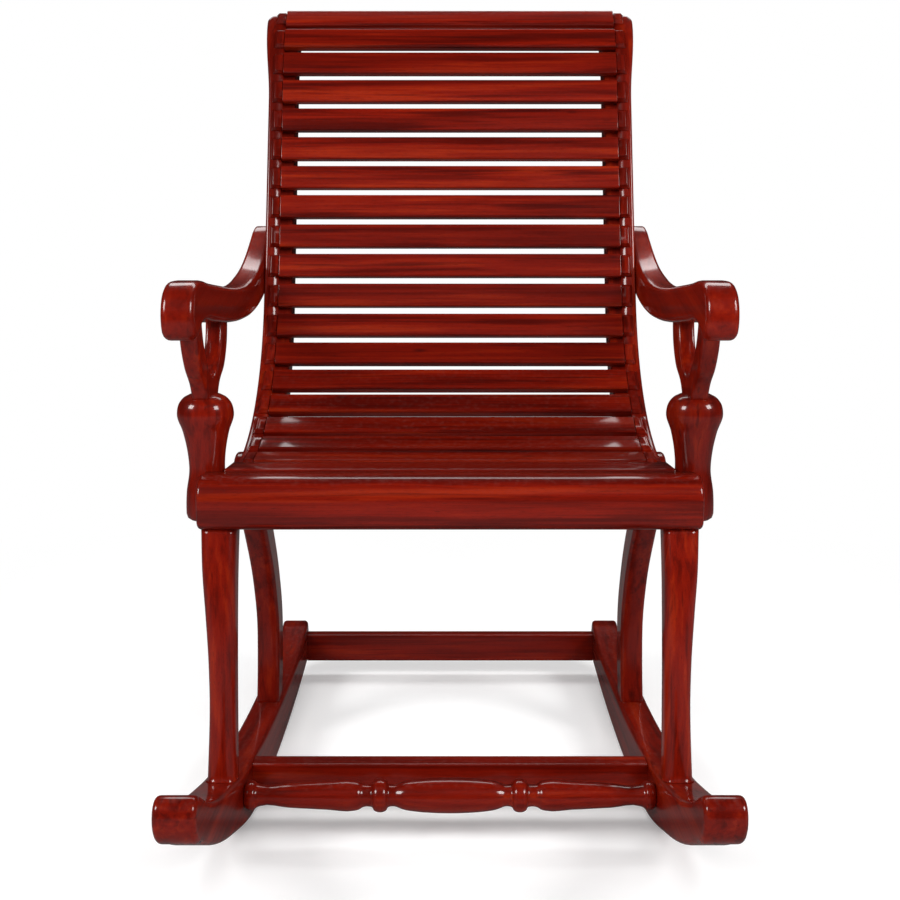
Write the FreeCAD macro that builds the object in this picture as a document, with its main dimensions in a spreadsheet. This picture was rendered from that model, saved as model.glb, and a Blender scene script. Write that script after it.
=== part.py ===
import FreeCAD, Part
import math
import os
from FreeCAD import Placement, Rotation, Vector

# Slatted rocking chair in dark red hardwood, sizes in millimetres.
# The sitter faces -Y, +X is to the right of someone who looks at the chair from
# the front, +Z is up, and z = 0 is the floor under the middle of the rockers.

SIZES = {
    # Curve of the sitting face: flat seat, hollow arc, leaning back, rolled top
    "seat_height": 452.0,
    "seat_front": -146.0,
    "seat_flat": 30.0,
    "hollow_radius": 287.0,
    "back_lean": 15.74,
    "back_straight": 341.7,
    "roll_radius": 250.0,
    # Cross slats
    "slat_length": 500.0,
    "slat_width": 34.5,
    "slat_thick": 12.0,
    "slat_edge": 2.5,
    "slat_pitch": 44.87,
    "slat_first": 60.0,
    "slat_count": 18,
    # Side rails and back stiles, with the raised blocks beside each slat
    "rail_inner": 229.0,
    "rail_outer": 272.0,
    "rail_depth": 46.0,
    "end_gap": 0.6,
    "cheek_drop": 6.0,
    "block_width": 15.5,
    "block_flat": 11.0,
    "block_length": 34.0,
    "block_crown": 25.0,
    "block_sink": 1.5,
    "splice_after": 3,
    "splice_tongue": 30.0,
    "splice_thick": 14.0,
    "splice_height": 26.0,
    "ear_length": 18.0,
    "ear_bulge": 8.0,
    "ear_swell": 8.0,
    "ear_below": 150.0,
    "ear_round": 14.0,
    # Front seat board and front rail
    "board_depth": 61.0,
    "board_thick": 18.0,
    "board_proud": 3.0,
    "board_edge": 3.0,
    "front_rail_half": 294.5,
    "front_rail_depth": 50.0,
    "front_rail_height": 60.0,
    "front_rail_crown": 28.0,
    "front_rail_under": 12.0,
    "front_rail_end": 5.0,
    # Rockers
    "rocker_length": 866.0,
    "rocker_inner": 250.0,
    "rocker_thick": 44.0,
    "rocker_low": 37.3,
    "rocker_radius": 2600.0,
    "rocker_turn": 137.3,
    "rocker_front_radius": 620.0,
    # Front legs
    "leg_inner": 252.0,
    "leg_width": 40.0,
    "ankle_width": 30.0,
    "leg_depth": 40.0,
    "ankle_depth": 36.0,
    "leg_corner": 9.0,
    "front_peg_low": 66.0,
    # Back legs
    "back_leg_thick": 33.0,
    "back_peg_front": 103.0,
    "back_peg_low": 40.0,
    # Arms
    "arm_thick": 37.0,
    "arm_splay": 2.77,
    "arm_taper": 130.0,
    "arm_hinge_y": 185.0,
    "arm_rear_thick": 24.0,
    "arm_edge": 6.0,
    # Arm posts
    "post_x": 297.5,
    "post_y": -120.0,
    "post_bottom": 389.0,
    "post_foot_radius": 26.5,
    "post_waist_radius": 21.5,
    "post_belly_radius": 34.0,
    "post_shoulder": 545.0,
    "loop_thick": 20.0,
    "loop_sink": 8.0,
    "arm_under": 632.0,
    # Stretchers between the rockers
    "turn_sides": 16,
    "turned_y": -182.0,
    "turned_z": 58.0,
    "bulb_radius": 21.0,
    "mid_rear": -104.0,
    "mid_depth": 28.0,
    "mid_height": 38.0,
    "mid_top": 75.0,
    "rear_front": 400.0,
    "rear_depth": 25.0,
    "rear_height": 47.0,
    "rear_top": 75.0,
    # Joints
    "glue_gap": 0.1,
    "arm_peg_low": 690.0,
    "arm_peg_step": 24.0,
    "arm_peg_y": 195.0,
    "post_peg_drop": 16.0,
    "lap_peg_y": 12.0,
    "lap_peg_z": 446.0,
    "peg_width": 7.0,
    "peg_in_slat": 8.0,
    "peg_in_rail": 22.0,
    "tenon_long": 24.0,
    "tenon_thick": 14.0,
}

doc = FreeCAD.newDocument("rocking_chair")
sheet = doc.addObject("Spreadsheet::Sheet", "Sizes")
for row, (alias, value) in enumerate(SIZES.items(), start=1):
    sheet.set("A%d" % row, alias)
    sheet.set("B%d" % row, str(value))
    sheet.setAlias("B%d" % row, alias)
doc.recompute()


def size(alias):
    return float(sheet.get(alias))


parts = []


def keep(feature, label):
    """Names a finished sub-part, so that it is checked and written at the end."""
    feature.Label = label
    parts.append(feature)
    return feature


# Curve of the sitting face, followed by its length from the front of the seat

LEAN = math.radians(90.0 - size("back_lean"))
HOLLOW_END = size("seat_flat") + size("hollow_radius") * LEAN
STRAIGHT_END = HOLLOW_END + size("back_straight")


def face(along, behind=0.0):
    """Point (y, z) at a length along the sitting face and a depth behind it."""
    heading = face_heading(along)
    y = size("seat_front") + min(along, size("seat_flat"))
    z = size("seat_height")
    if along > size("seat_flat"):
        turned = min(along - size("seat_flat"), HOLLOW_END - size("seat_flat"))
        angle = turned / size("hollow_radius")
        y += size("hollow_radius") * math.sin(angle)
        z += size("hollow_radius") * (1.0 - math.cos(angle))
    if along > HOLLOW_END:
        straight = min(along, STRAIGHT_END) - HOLLOW_END
        y += straight * math.cos(LEAN)
        z += straight * math.sin(LEAN)
    if along > STRAIGHT_END:
        radius = size("roll_radius")
        y += radius * (math.sin(LEAN) - math.sin(heading))
        z += radius * (math.cos(heading) - math.cos(LEAN))
    return y + behind * math.sin(heading), z - behind * math.cos(heading)


def face_heading(along):
    """Slope angle of the sitting face, 0 on the seat and steep on the back."""
    if along <= size("seat_flat"):
        return 0.0
    if along <= HOLLOW_END:
        return (along - size("seat_flat")) / size("hollow_radius")
    if along <= STRAIGHT_END:
        return LEAN
    return LEAN - (along - STRAIGHT_END) / size("roll_radius")


def face_vector(along, behind=0.0):
    y, z = face(along, behind)
    return Vector(y, z, 0.0)


def face_edges(start, end, behind):
    """Lines and arcs that run behind the sitting face from one length to another."""
    stops = [start] + [s for s in (size("seat_flat"), HOLLOW_END, STRAIGHT_END) if start < s < end] + [end]
    edges = []
    for low, high in zip(stops, stops[1:]):
        middle = 0.5 * (low + high)
        ends = face_vector(low, behind), face_vector(high, behind)
        if abs(face_heading(low) - face_heading(high)) < 1e-9:
            edges.append(Part.LineSegment(*ends))
        else:
            edges.append(Part.Arc(ends[0], face_vector(middle, behind), ends[1]))
    return edges


def slat_along(number):
    """Length along the face of a slat's middle, with slat 1 at the top."""
    steps = size("slat_count") - number
    return size("seat_flat") + size("slat_first") + steps * size("slat_pitch")


SPLICE = 0.5 * (slat_along(size("slat_count") - size("splice_after"))
                + slat_along(size("slat_count") - size("splice_after") + 1))
STILE_END = slat_along(1) + size("ear_length")


# Helpers for bodies, sketches and solids

def new_body(name):
    return doc.addObject("PartDesign::Body", name)


def new_sketch(body, name, plane, edges, offset=0.0):
    """Sketch on one of the body's own origin planes, moved along its normal."""
    sketch = body.newObject("Sketcher::SketchObject", name)
    support = next(f for f in body.Origin.OriginFeatures if f.Role == plane)
    sketch.AttachmentSupport = [(support, "")]
    sketch.MapMode = "FlatFace"
    sketch.AttachmentOffset = Placement(Vector(0.0, 0.0, offset), Rotation())
    sketch.addGeometry(edges, False)
    return sketch


def pad(body, sketch, expression):
    feature = body.newObject("PartDesign::Pad", sketch.Name + "_pad")
    feature.Profile = sketch
    feature.setExpression("Length", expression)
    return feature


def pocket_through(body, sketch):
    """Cut through all, both ways from the sketch."""
    feature = body.newObject("PartDesign::Pocket", sketch.Name + "_pocket")
    feature.Profile = sketch
    feature.Type = "ThroughAll"
    feature.SideType = "Symmetric"
    return feature


def ease(body, base, chosen, expression):
    """Bevels the base's edges for which chosen(edge) is true."""
    doc.recompute()
    names = ["Edge%d" % (i + 1) for i, edge in enumerate(base.Shape.Edges) if chosen(edge)]
    feature = body.newObject("PartDesign::Chamfer", base.Name + "_bevel")
    feature.Base = (base, names)
    feature.setExpression("Size", expression)
    return feature


def bend(start, heading, end):
    """Arc that leaves the start along its heading and reaches the end; a line where the two agree."""
    chord = end - start
    turn = heading.cross(chord).z
    if abs(turn) < 1e-6 * chord.Length:
        return Part.LineSegment(start, end)
    angle = math.atan2(turn, heading.dot(chord))
    side = Vector(chord.y, -chord.x, 0.0)
    return Part.Arc(start, start + chord * 0.5 + side * 0.5 * math.tan(0.5 * angle), end)


def bend_pair(start, leaving, end, arriving):
    """Two arcs that meet smoothly, from one point and heading to another."""
    chord = end - start
    both = leaving + arriving
    slack = 2.0 * (1.0 - leaving.dot(arriving))
    if slack < 1e-9:
        reach = chord.dot(chord) / (4.0 * chord.dot(arriving))
    else:
        ahead = chord.dot(both)
        reach = (-ahead + math.sqrt(ahead ** 2 + slack * chord.dot(chord))) / slack
    meeting = (start + leaving * reach + end - arriving * reach) * 0.5
    after = (end - arriving * reach - meeting).normalize()
    return [bend(start, leaving, meeting), bend(meeting, after, end)]


def through(points, closed=False):
    """Smooth chain of arcs through the points, which may close on itself."""
    marks = [Vector(a, b, 0.0) for a, b in points]
    count = len(marks)
    headings = []
    for i, here in enumerate(marks):
        before = marks[i - 1] if closed or i > 0 else None
        beyond = marks[(i + 1) % count] if closed or i < count - 1 else None
        if before is None or beyond is None:
            headings.append(None)
            continue
        back, ahead = here - before, beyond - here
        share = ahead.Length / back.Length
        headings.append((back * share + ahead * (1.0 / share)).normalize())
    for i, inner, sign in ((0, 1, 1.0), (count - 1, count - 2, -1.0)):
        if headings[i] is None:
            chord = (marks[inner] - marks[i]).normalize() * sign
            headings[i] = (chord * (2.0 * chord.dot(headings[inner])) - headings[inner]).normalize()
    edges = []
    for i in range(count if closed else count - 1):
        j = (i + 1) % count
        edges += bend_pair(marks[i], headings[i], marks[j], headings[j])
    return edges


def loft_through(body, name, sketches):
    """Solid with straight sides from each section to the next."""
    feature = body.newObject("PartDesign::AdditiveLoft", name)
    feature.Profile = sketches[0]
    feature.Sections = sketches[1:]
    feature.Ruled = True
    return feature


def turning(name, plane, stations):
    """Turned solid with few flats, from its places along the axis and the radius at each."""
    body = new_body(name)
    sides = int(size("turn_sides"))
    rings = []
    for number, (place, radius) in enumerate(stations):
        spokes = [2.0 * math.pi * i / sides for i in range(sides)]
        ring = polygon([(radius * math.cos(spoke), radius * math.sin(spoke)) for spoke in spokes])
        rings.append(new_sketch(body, "%s_ring_%02d" % (name, number), plane, ring, place))
    loft_through(body, name + "_turned", rings)
    return body


def line(a, b):
    return Part.LineSegment(Vector(a[0], a[1], 0.0), Vector(b[0], b[1], 0.0))


def arc(a, b, c):
    return Part.Arc(Vector(a[0], a[1], 0.0), Vector(b[0], b[1], 0.0), Vector(c[0], c[1], 0.0))


def polygon(points):
    return [line(a, b) for a, b in zip(points, points[1:] + points[:1])]


def cornered_rectangle(low_x, high_x, low_y, high_y, corner):
    """Rectangle with its corners cut off."""
    return polygon([
        (low_x + corner, low_y), (high_x - corner, low_y), (high_x, low_y + corner),
        (high_x, high_y - corner), (high_x - corner, high_y), (low_x + corner, high_y),
        (low_x, high_y - corner), (low_x, low_y + corner)])


def block(name, length, width, height, low):
    """Box whose sides are expressions on the sheet, from its lowest corner."""
    box = doc.addObject("Part::Box", name)
    for side, expression in (("Length", length), ("Width", width), ("Height", height)):
        box.setExpression(side, expression)
    box.Placement.Base = Vector(*low)
    return box


def fuse(name, *solids):
    feature = doc.addObject("Part::MultiFuse", name)
    feature.Shapes = list(solids)
    feature.Refine = True
    return feature


def cut(name, base, *tools):
    """The base less the tools, which are joined first."""
    tool = fuse(name + "_tools", *tools) if len(tools) > 1 else tools[0]
    feature = doc.addObject("Part::Cut", name)
    feature.Base = base
    feature.Tool = tool
    return feature


def mirrored(name, source):
    """Left-hand twin of a right-hand solid."""
    feature = doc.addObject("Part::Mirroring", name)
    feature.Source = source
    feature.Normal = Vector(1.0, 0.0, 0.0)
    return feature


def keep_pair(right, label):
    """Keeps a right-hand sub-part and its twin, and returns both."""
    return keep(right, label + "_right"), keep(mirrored(label + "_mirrored", right), label + "_left")


def peg(name, base, direction, length):
    """A square peg and the slightly wider hole that it is glued into."""
    pair = []
    turn = Rotation(Vector(0.0, 0.0, 1.0), direction)
    for suffix, extra in (("", 0.0), ("_hole", size("glue_gap"))):
        half = 0.5 * size("peg_width") + extra
        side = "Sizes.peg_width + %g" % (2.0 * extra)
        rod = block(name + suffix, side, side, "%g" % (length + 2.0 * extra), (0.0, 0.0, 0.0))
        rod.Placement = Placement(Vector(*base) + turn.multVec(Vector(-half, -half, -extra)), turn)
        pair.append(rod)
    return pair


def group(name, label, solids):
    feature = doc.addObject("Part::Compound", name)
    feature.Links = list(solids)
    return keep(feature, label)


ALONG_X = Vector(1.0, 0.0, 0.0)


# Cross slats, each held by a peg into either side rail

def slat_section():
    """Section of a slat: its face is up, with its front edges eased."""
    half = 0.5 * size("slat_width")
    edge = size("slat_edge")
    thick = size("slat_thick")
    return polygon([(half - edge, 0.0), (-half + edge, 0.0), (-half, -edge), (-half, -thick), (half, -thick),
                    (half, -edge)])


def make_slat(number):
    """One slat with its two pegs: returns the pegs and their holes by side."""
    along = slat_along(number)
    heading = face_heading(along)
    y, z = face(along)
    body = new_body("slat_body_%02d" % number)
    sketch = new_sketch(body, "slat_sketch_%02d" % number, "YZ_Plane", slat_section())
    solid = pad(body, sketch, "Sizes.slat_length")
    solid.SideType = "Symmetric"
    body.Placement = Placement(Vector(0.0, y, z), Rotation(Vector(1.0, 0.0, 0.0), math.degrees(heading)))
    normal = Vector(0.0, -math.sin(heading), math.cos(heading))
    foot_y, foot_z = face(along, size("slat_thick") + size("peg_in_rail"))
    peg_x = 0.5 * (0.5 * size("slat_length") + size("rail_inner"))
    pairs = []
    for side in (-1, 1):
        name = "slat_peg_%02d_%s" % (number, "right" if side > 0 else "left")
        length = size("peg_in_rail") + size("peg_in_slat")
        pairs.append(peg(name, (side * peg_x, foot_y, foot_z), normal, length))
    keep(cut("slat_cut_%02d" % number, body, pairs[0][1], pairs[1][1]), "slat_%02d" % number)
    return pairs


slat_pegs = [make_slat(number) for number in range(1, int(size("slat_count")) + 1)]


# Side frame: a seat rail and a back stile, spliced in the hollow of the seat

def band(body, name, start, end, front_behind, cap, low_x, width):
    """Solid strip behind the sitting face; cap is how far its end swells."""
    back_behind = size("slat_thick") + size("rail_depth")
    middle_behind = 0.5 * (front_behind + back_behind)
    front = face_edges(start, end, front_behind)
    back = face_edges(start, end, back_behind)
    edges = front + back
    edges.append(Part.LineSegment(face_vector(start, front_behind), face_vector(start, back_behind)))
    if cap > 0.0:
        crown = face_vector(end + cap, middle_behind)
        edges.append(Part.Arc(face_vector(end, front_behind), crown, face_vector(end, back_behind)))
    else:
        edges.append(Part.LineSegment(face_vector(end, front_behind), face_vector(end, back_behind)))
    sketch = new_sketch(body, name, "YZ_Plane", edges, low_x)
    return pad(body, sketch, width)


def add_blocks(body, numbers):
    """Bevelled blocks on the cheek, one beside the end of each slat."""
    inner = 0.5 * size("slat_length") + size("end_gap")
    for number in numbers:
        along = slat_along(number)
        y, z = face(along, size("cheek_drop") + size("block_sink"))
        wedge = body.newObject("PartDesign::AdditiveWedge", "%s_block_%02d" % (body.Name, number))
        wedge.Xmin = wedge.X2min = 0.0
        wedge.Ymin = 0.0
        wedge.setExpression("Xmax", "Sizes.block_width")
        wedge.setExpression("X2max", "Sizes.block_flat")
        wedge.setExpression("Ymax", "Sizes.cheek_drop + Sizes.block_sink")
        wedge.setExpression("Zmin", "-Sizes.block_length / 2")
        wedge.setExpression("Zmax", "Sizes.block_length / 2")
        wedge.setExpression("Z2min", "-Sizes.block_crown / 2")
        wedge.setExpression("Z2max", "Sizes.block_crown / 2")
        turn = math.degrees(face_heading(along)) + 90.0
        wedge.Placement = Placement(Vector(inner, y, z), Rotation(Vector(1.0, 0.0, 0.0), turn))


def side_board(name, start, end, cap, numbers):
    """Board of the side frame: a low bearing strip, a cheek and its blocks."""
    body = new_body(name)
    inner = 0.5 * size("slat_length") + size("end_gap")
    band(body, name + "_bearing", start, end, size("slat_thick"), cap, size("rail_inner"),
         "Sizes.slat_length / 2 + Sizes.end_gap - Sizes.rail_inner")
    band(body, name + "_cheek", start, end, size("cheek_drop"), cap, inner,
         "Sizes.rail_outer - Sizes.slat_length / 2 - Sizes.end_gap%s" % (" + Sizes.ear_swell" if cap else ""))
    add_blocks(body, numbers)
    return body


def splice_box(name, extra):
    """Tongue across the splice, which points down the curve into the seat rail."""
    tongue = block(name, "Sizes.splice_thick + %g * Sizes.glue_gap" % (2.0 * extra),
                   "Sizes.splice_tongue + %g * Sizes.glue_gap" % (2.0 * extra),
                   "Sizes.splice_height + %g * Sizes.glue_gap" % (2.0 * extra), (0.0, 0.0, 0.0))
    heading = face_heading(SPLICE)
    depth = size("slat_thick") + 0.5 * (size("rail_depth") + size("splice_height")) + extra * size("glue_gap")
    y, z = face(SPLICE, depth)
    reach = 0.5 * size("splice_tongue") + extra * size("glue_gap")
    middle = 0.5 * (size("rail_inner") + size("rail_outer"))
    x = middle - 0.5 * size("splice_thick") - extra * size("glue_gap")
    tongue.Placement = Placement(
        Vector(x, y - reach * math.cos(heading), z - reach * math.sin(heading)),
        Rotation(Vector(1.0, 0.0, 0.0), math.degrees(heading)))
    return tongue


first_stile_slat = int(size("slat_count") - size("splice_after"))


def ear_outline(below_z, top_z):
    """Everything outside the stile's outer edge, which swells below its round top."""
    outer = size("rail_outer")
    swell = outer + size("ear_swell")
    radius = size("ear_round")
    far, low, high = swell + 4.0 * radius, -radius, top_z + 4.0 * radius
    round_z = top_z - 1.5 * radius
    up = Vector(0.0, 1.0, 0.0)
    near = radius * (1.0 - math.sqrt(0.5))
    crown = (swell - radius, round_z + radius)
    return bend_pair(Vector(outer, below_z, 0.0), up, Vector(swell, round_z, 0.0), up) + [
        line((outer, low), (outer, below_z)),
        arc((swell, round_z), (swell - near, crown[1] - near), crown),
        line(crown, (crown[0], high)),
        line((crown[0], high), (far, high)),
        line((far, high), (far, low)),
        line((far, low), (outer, low)),
    ]


stile_numbers = range(1, first_stile_slat + 1)
stile_body = side_board("stile_body", SPLICE, STILE_END, size("ear_bulge"), stile_numbers)
stile_top = face(STILE_END)[1]
ear_sketch = new_sketch(stile_body, "ear_outline", "XZ_Plane",
                        ear_outline(stile_top - size("ear_below"), stile_top))
pocket_through(stile_body, ear_sketch)

seat_numbers = range(first_stile_slat + 1, int(size("slat_count")) + 1)
seat_body = side_board("seat_rail_body", 0.0, SPLICE, 0.0, seat_numbers)

BOARD_TOP = size("seat_height") + size("board_proud")
BOARD_BOTTOM = BOARD_TOP - size("board_thick")
MIDDLE_X = 0.5 * (size("rail_inner") + size("rail_outer"))
FRONT_RAIL_BOTTOM = size("seat_height") - size("front_rail_height")


# Pegs of the board, the arms, the posts and the back legs

def peg_pairs(name, spots, direction, length):
    """Pegs at the right-hand spots and, mirrored, at the left-hand ones."""
    pairs = {"right": [], "left": []}
    for number, (x, y, z) in enumerate(spots, start=1):
        for side, sign in (("right", 1.0), ("left", -1.0)):
            way = Vector(sign * direction.x, direction.y, direction.z)
            pairs[side].append(peg("%s_%s_%d" % (name, side, number), (sign * x, y, z), way, length))
    return pairs


reach = size("peg_in_rail") + size("peg_in_slat")
board_y = size("seat_front") + 0.5 * size("board_depth")
board_x = 0.5 * (size("rail_inner") + 0.5 * size("slat_length"))
board_spot = (board_x, board_y, BOARD_BOTTOM - size("peg_in_rail"))
board_pegs = peg_pairs("board_peg", [board_spot], Vector(0.0, 0.0, 1.0), reach)
peg_start = size("rail_outer") - size("peg_in_rail")
step = size("arm_peg_step")
arm_spots = [(peg_start, size("arm_peg_y") + up, size("arm_peg_low") + up) for up in (0.0, step)]
arm_pegs = peg_pairs("arm_peg", arm_spots, ALONG_X, 2.0 * size("peg_in_rail"))
post_low = size("post_bottom") + size("post_peg_drop")
post_spots = [(peg_start, size("post_y"), post_low + up) for up in (0.0, step)]
post_pegs = peg_pairs("post_peg", post_spots, ALONG_X, 2.0 * size("peg_in_rail"))
lap_pegs = peg_pairs("lap_peg", [(peg_start, size("lap_peg_y"), size("lap_peg_z"))], ALONG_X, reach)


# Back stiles and seat rails

def slat_holes(numbers):
    return [slat_pegs[number - 1][1][1] for number in numbers]


stile = cut("stile_cut", fuse("stile_with_tongue", stile_body, splice_box("splice_tongue", 0.0)),
            *(slat_holes(stile_numbers) + [pair[1] for pair in arm_pegs["right"]]))
keep_pair(stile, "back_stile")

rail_tenon = block("rail_tenon", "Sizes.tenon_thick", "Sizes.tenon_long + 1", "Sizes.rail_depth / 2",
                   (MIDDLE_X - 0.5 * size("tenon_thick"), size("seat_front") - size("tenon_long"),
                    size("seat_height") - size("slat_thick") - 0.8 * size("rail_depth")))
board_seat = block("board_seat", "Sizes.rail_outer", "Sizes.board_depth + Sizes.end_gap", "Sizes.board_thick",
                   (0.5 * size("rail_inner"), size("seat_front"), BOARD_BOTTOM))
seat_rail = cut("seat_rail_cut", fuse("seat_rail_with_tenon", seat_body, rail_tenon), board_seat,
                splice_box("splice_mortise", 1.0), board_pegs["right"][0][1],
                *(slat_holes(seat_numbers) + [pair[1] for pair in post_pegs["right"] + lap_pegs["right"]]))
seat_rails = keep_pair(seat_rail, "seat_rail")


# Front seat board

def board_section():
    low_y = size("seat_front")
    high_y = low_y + size("board_depth")
    edge = size("board_edge")
    return polygon([(high_y - edge, BOARD_TOP), (low_y + edge, BOARD_TOP), (low_y, BOARD_TOP - edge),
                    (low_y, BOARD_BOTTOM), (high_y, BOARD_BOTTOM), (high_y, BOARD_TOP - edge)])


board_body = new_body("seat_board_body")
board_pad = pad(board_body, new_sketch(board_body, "seat_board_sketch", "YZ_Plane", board_section()),
                "2 * Sizes.rail_outer")
board_pad.SideType = "Symmetric"
board_holes = [board_pegs[side][0][1] for side in ("right", "left")]
keep(cut("seat_board_cut", board_body, *board_holes), "seat_front_board")


# Rockers

def rocker_bottom(y):
    """Height of the rocker's running edge: a long flat arc and a quicker one at the toe."""
    low, radius = size("rocker_low"), size("rocker_radius")
    turn = low - size("rocker_turn")
    if y >= turn:
        return radius - math.sqrt(radius ** 2 - (y - low) ** 2)
    slope = math.asin(size("rocker_turn") / radius)
    front = size("rocker_front_radius")
    centre_y = turn + front * math.sin(slope)
    centre_z = radius * (1.0 - math.cos(slope)) + front * math.cos(slope)
    return centre_z - math.sqrt(front ** 2 - (y - centre_y) ** 2)


# Depth of the rocker at stations along it, as a share of half its length
ROCKER_STATIONS = [(-0.86, 60.5), (-0.54, 71.5), (-0.15, 69.0), (0.42, 59.0), (0.77, 55.0), (0.98, 65.0)]


def rocker_outline():
    """Side view of a rocker, with its rolled toe in front and a blunt tip behind."""
    half = 0.5 * size("rocker_length")
    top = [(half * share, rocker_bottom(half * share) + depth) for share, depth in ROCKER_STATIONS]
    toe, heel = -0.935 * half, 0.975 * half
    turn = size("rocker_low") - size("rocker_turn")

    def under(y):
        return (y, rocker_bottom(y))

    nose_z = rocker_bottom(toe) + 45.0
    nose = [under(toe), (-half + 6.0, nose_z - 22.0), (-half, nose_z), (-half + 17.0, nose_z + 20.0),
            (-half + 30.0, nose_z + 15.0)]
    return [
        arc(top[-1], (half, 0.5 * (top[-1][1] + rocker_bottom(heel))), under(heel)),
        arc(under(heel), under(0.5 * (heel + turn)), under(turn)),
        arc(under(turn), under(0.5 * (turn + toe)), under(toe)),
    ] + through(nose + top)


def x_face(edge, positions):
    """True for an edge that lies in one of the planes x = position."""
    box = edge.BoundBox
    return any(abs(box.XMin - x) < 1e-4 and abs(box.XMax - x) < 1e-4 for x in positions)


rocker_body = new_body("rocker_body")
rocker_sketch = new_sketch(rocker_body, "rocker_sketch", "YZ_Plane", rocker_outline(), size("rocker_inner"))
pad(rocker_body, rocker_sketch, "Sizes.rocker_thick")


# Front legs

def leg_sections():
    """Height, front, width and depth of the leg, from the rail down into the rocker."""
    top = FRONT_RAIL_BOTTOM
    front = size("seat_front") - size("front_rail_depth")
    wide, thin = size("leg_width"), size("ankle_width")
    deep, slim = size("leg_depth"), size("ankle_depth")
    return [
        (top, front + 10.0, wide, deep),
        (0.87 * top, front - 5.0, wide - 4.0, deep),
        (0.74 * top, front - 13.0, 0.5 * (wide + thin) - 4.0, 0.5 * (deep + slim)),
        (0.59 * top, front - 20.0, thin - 2.0, slim),
        (0.43 * top, front - 26.0, thin - 2.0, slim - 1.0),
        (0.16 * top, front - 39.0, thin + 3.0, slim),
    ]


leg_body = new_body("front_leg_body")
leg_sketches = []
for number, (height, front, width, depth) in enumerate(leg_sections()):
    inner = size("leg_inner")
    outline = cornered_rectangle(inner, inner + width, front, front + depth, size("leg_corner"))
    leg_sketches.append(new_sketch(leg_body, "leg_section_%d" % number, "XY_Plane", outline, height))
loft_through(leg_body, "leg_loft", leg_sketches)

tenon = size("tenon_thick")
rail_front = size("seat_front") - size("front_rail_depth")
leg_middle = size("leg_inner") + 0.5 * size("ankle_width")
front_peg = block("front_peg", "Sizes.tenon_thick", "Sizes.tenon_thick", "2 * Sizes.tenon_long",
                  (leg_middle - 0.5 * tenon, rail_front - 2.0 * tenon, size("front_peg_low")))
leg_top_middle = size("leg_inner") + 0.5 * size("leg_width")
top_peg = block("top_peg", "Sizes.tenon_thick", "Sizes.tenon_thick", "2 * Sizes.tenon_long",
                (leg_top_middle - 0.5 * tenon, size("seat_front") - 0.5 * (size("leg_depth") + tenon),
                 FRONT_RAIL_BOTTOM - size("tenon_long")))
front_leg = fuse("front_leg_joined", cut("front_leg_cut", leg_body, rocker_body), front_peg, top_peg)
front_legs = keep_pair(front_leg, "front_leg")


# Back legs, which lap over the outside of the seat rail

def back_leg_outline():
    front = [(90.0, 55.0), (110.0, 159.0), (100.0, 222.0), (4.0, 400.0), (-16.0, 452.0)]
    rear = [(34.0, 460.0), (52.0, 410.0), (143.0, 225.0), (148.0, 159.0), (130.0, 55.0)]
    crown = arc(front[-1], (10.0, 466.0), rear[0])
    return through(front) + [crown] + through(rear) + [line(rear[-1], front[0])]


back_leg_body = new_body("back_leg_body")
back_leg_sketch = new_sketch(back_leg_body, "back_leg_sketch", "YZ_Plane", back_leg_outline(),
                             size("rocker_inner"))
pad(back_leg_body, back_leg_sketch, "Sizes.back_leg_thick")
back_peg = block("back_peg", "Sizes.tenon_thick", "Sizes.tenon_thick", "2 * Sizes.tenon_long",
                 (size("rocker_inner") + 0.5 * (size("back_leg_thick") - tenon), size("back_peg_front"),
                  size("back_peg_low")))


def lap_outline():
    """Everything above the underside of the seat rail."""
    under = size("slat_thick") + size("rail_depth")
    start, end = face(0.0, under), face(SPLICE, under)
    top = size("seat_height") + 2.0 * size("rail_depth")
    corners = polygon([start, (start[0], top), (end[0], top), end])
    return face_edges(0.0, SPLICE, under) + corners[:3]


lap_body = new_body("lap_body")
pad(lap_body, new_sketch(lap_body, "lap_sketch", "YZ_Plane", lap_outline(), size("rail_inner")),
    "Sizes.rail_outer - Sizes.rail_inner")
back_leg_lapped = cut("back_leg_lapped", cut("back_leg_foot", back_leg_body, rocker_body), lap_body)
back_leg = fuse("back_leg_joined", cut("back_leg_holes", back_leg_lapped, lap_pegs["right"][0][1]), back_peg)
keep_pair(back_leg, "back_leg")


# Front rail with a bullnose, and its end faces rounded

def front_rail_section():
    back = size("seat_front")
    front = back - size("front_rail_depth")
    top, bottom = size("seat_height"), FRONT_RAIL_BOTTOM
    crown, under = size("front_rail_crown"), size("front_rail_under")
    share = 1.0 - math.sqrt(0.5)
    crown_middle = (front + share * crown, top - share * crown)
    under_middle = (front + share * under, bottom + share * under)
    return [
        line((back, bottom), (back, top)),
        line((back, top), (front + crown, top)),
        arc((front + crown, top), crown_middle, (front, top - crown)),
        line((front, top - crown), (front, bottom + under)),
        arc((front, bottom + under), under_middle, (front + under, bottom)),
        line((front + under, bottom), (back, bottom)),
    ]


front_rail_body = new_body("front_rail_body")
front_rail_sketch = new_sketch(front_rail_body, "front_rail_sketch", "YZ_Plane", front_rail_section())
front_rail_pad = pad(front_rail_body, front_rail_sketch, "2 * Sizes.front_rail_half")
front_rail_pad.SideType = "Symmetric"
rail_ends = (-size("front_rail_half"), size("front_rail_half"))
ease(front_rail_body, front_rail_pad,
     lambda edge: x_face(edge, rail_ends) and edge.BoundBox.YMin < size("seat_front") - 1e-3,
     "Sizes.front_rail_end")
keep(cut("front_rail_cut", front_rail_body, *(seat_rails + front_legs)), "front_rail")


# Arm posts: a turned foot and vase below an open loop that carries the arm

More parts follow.
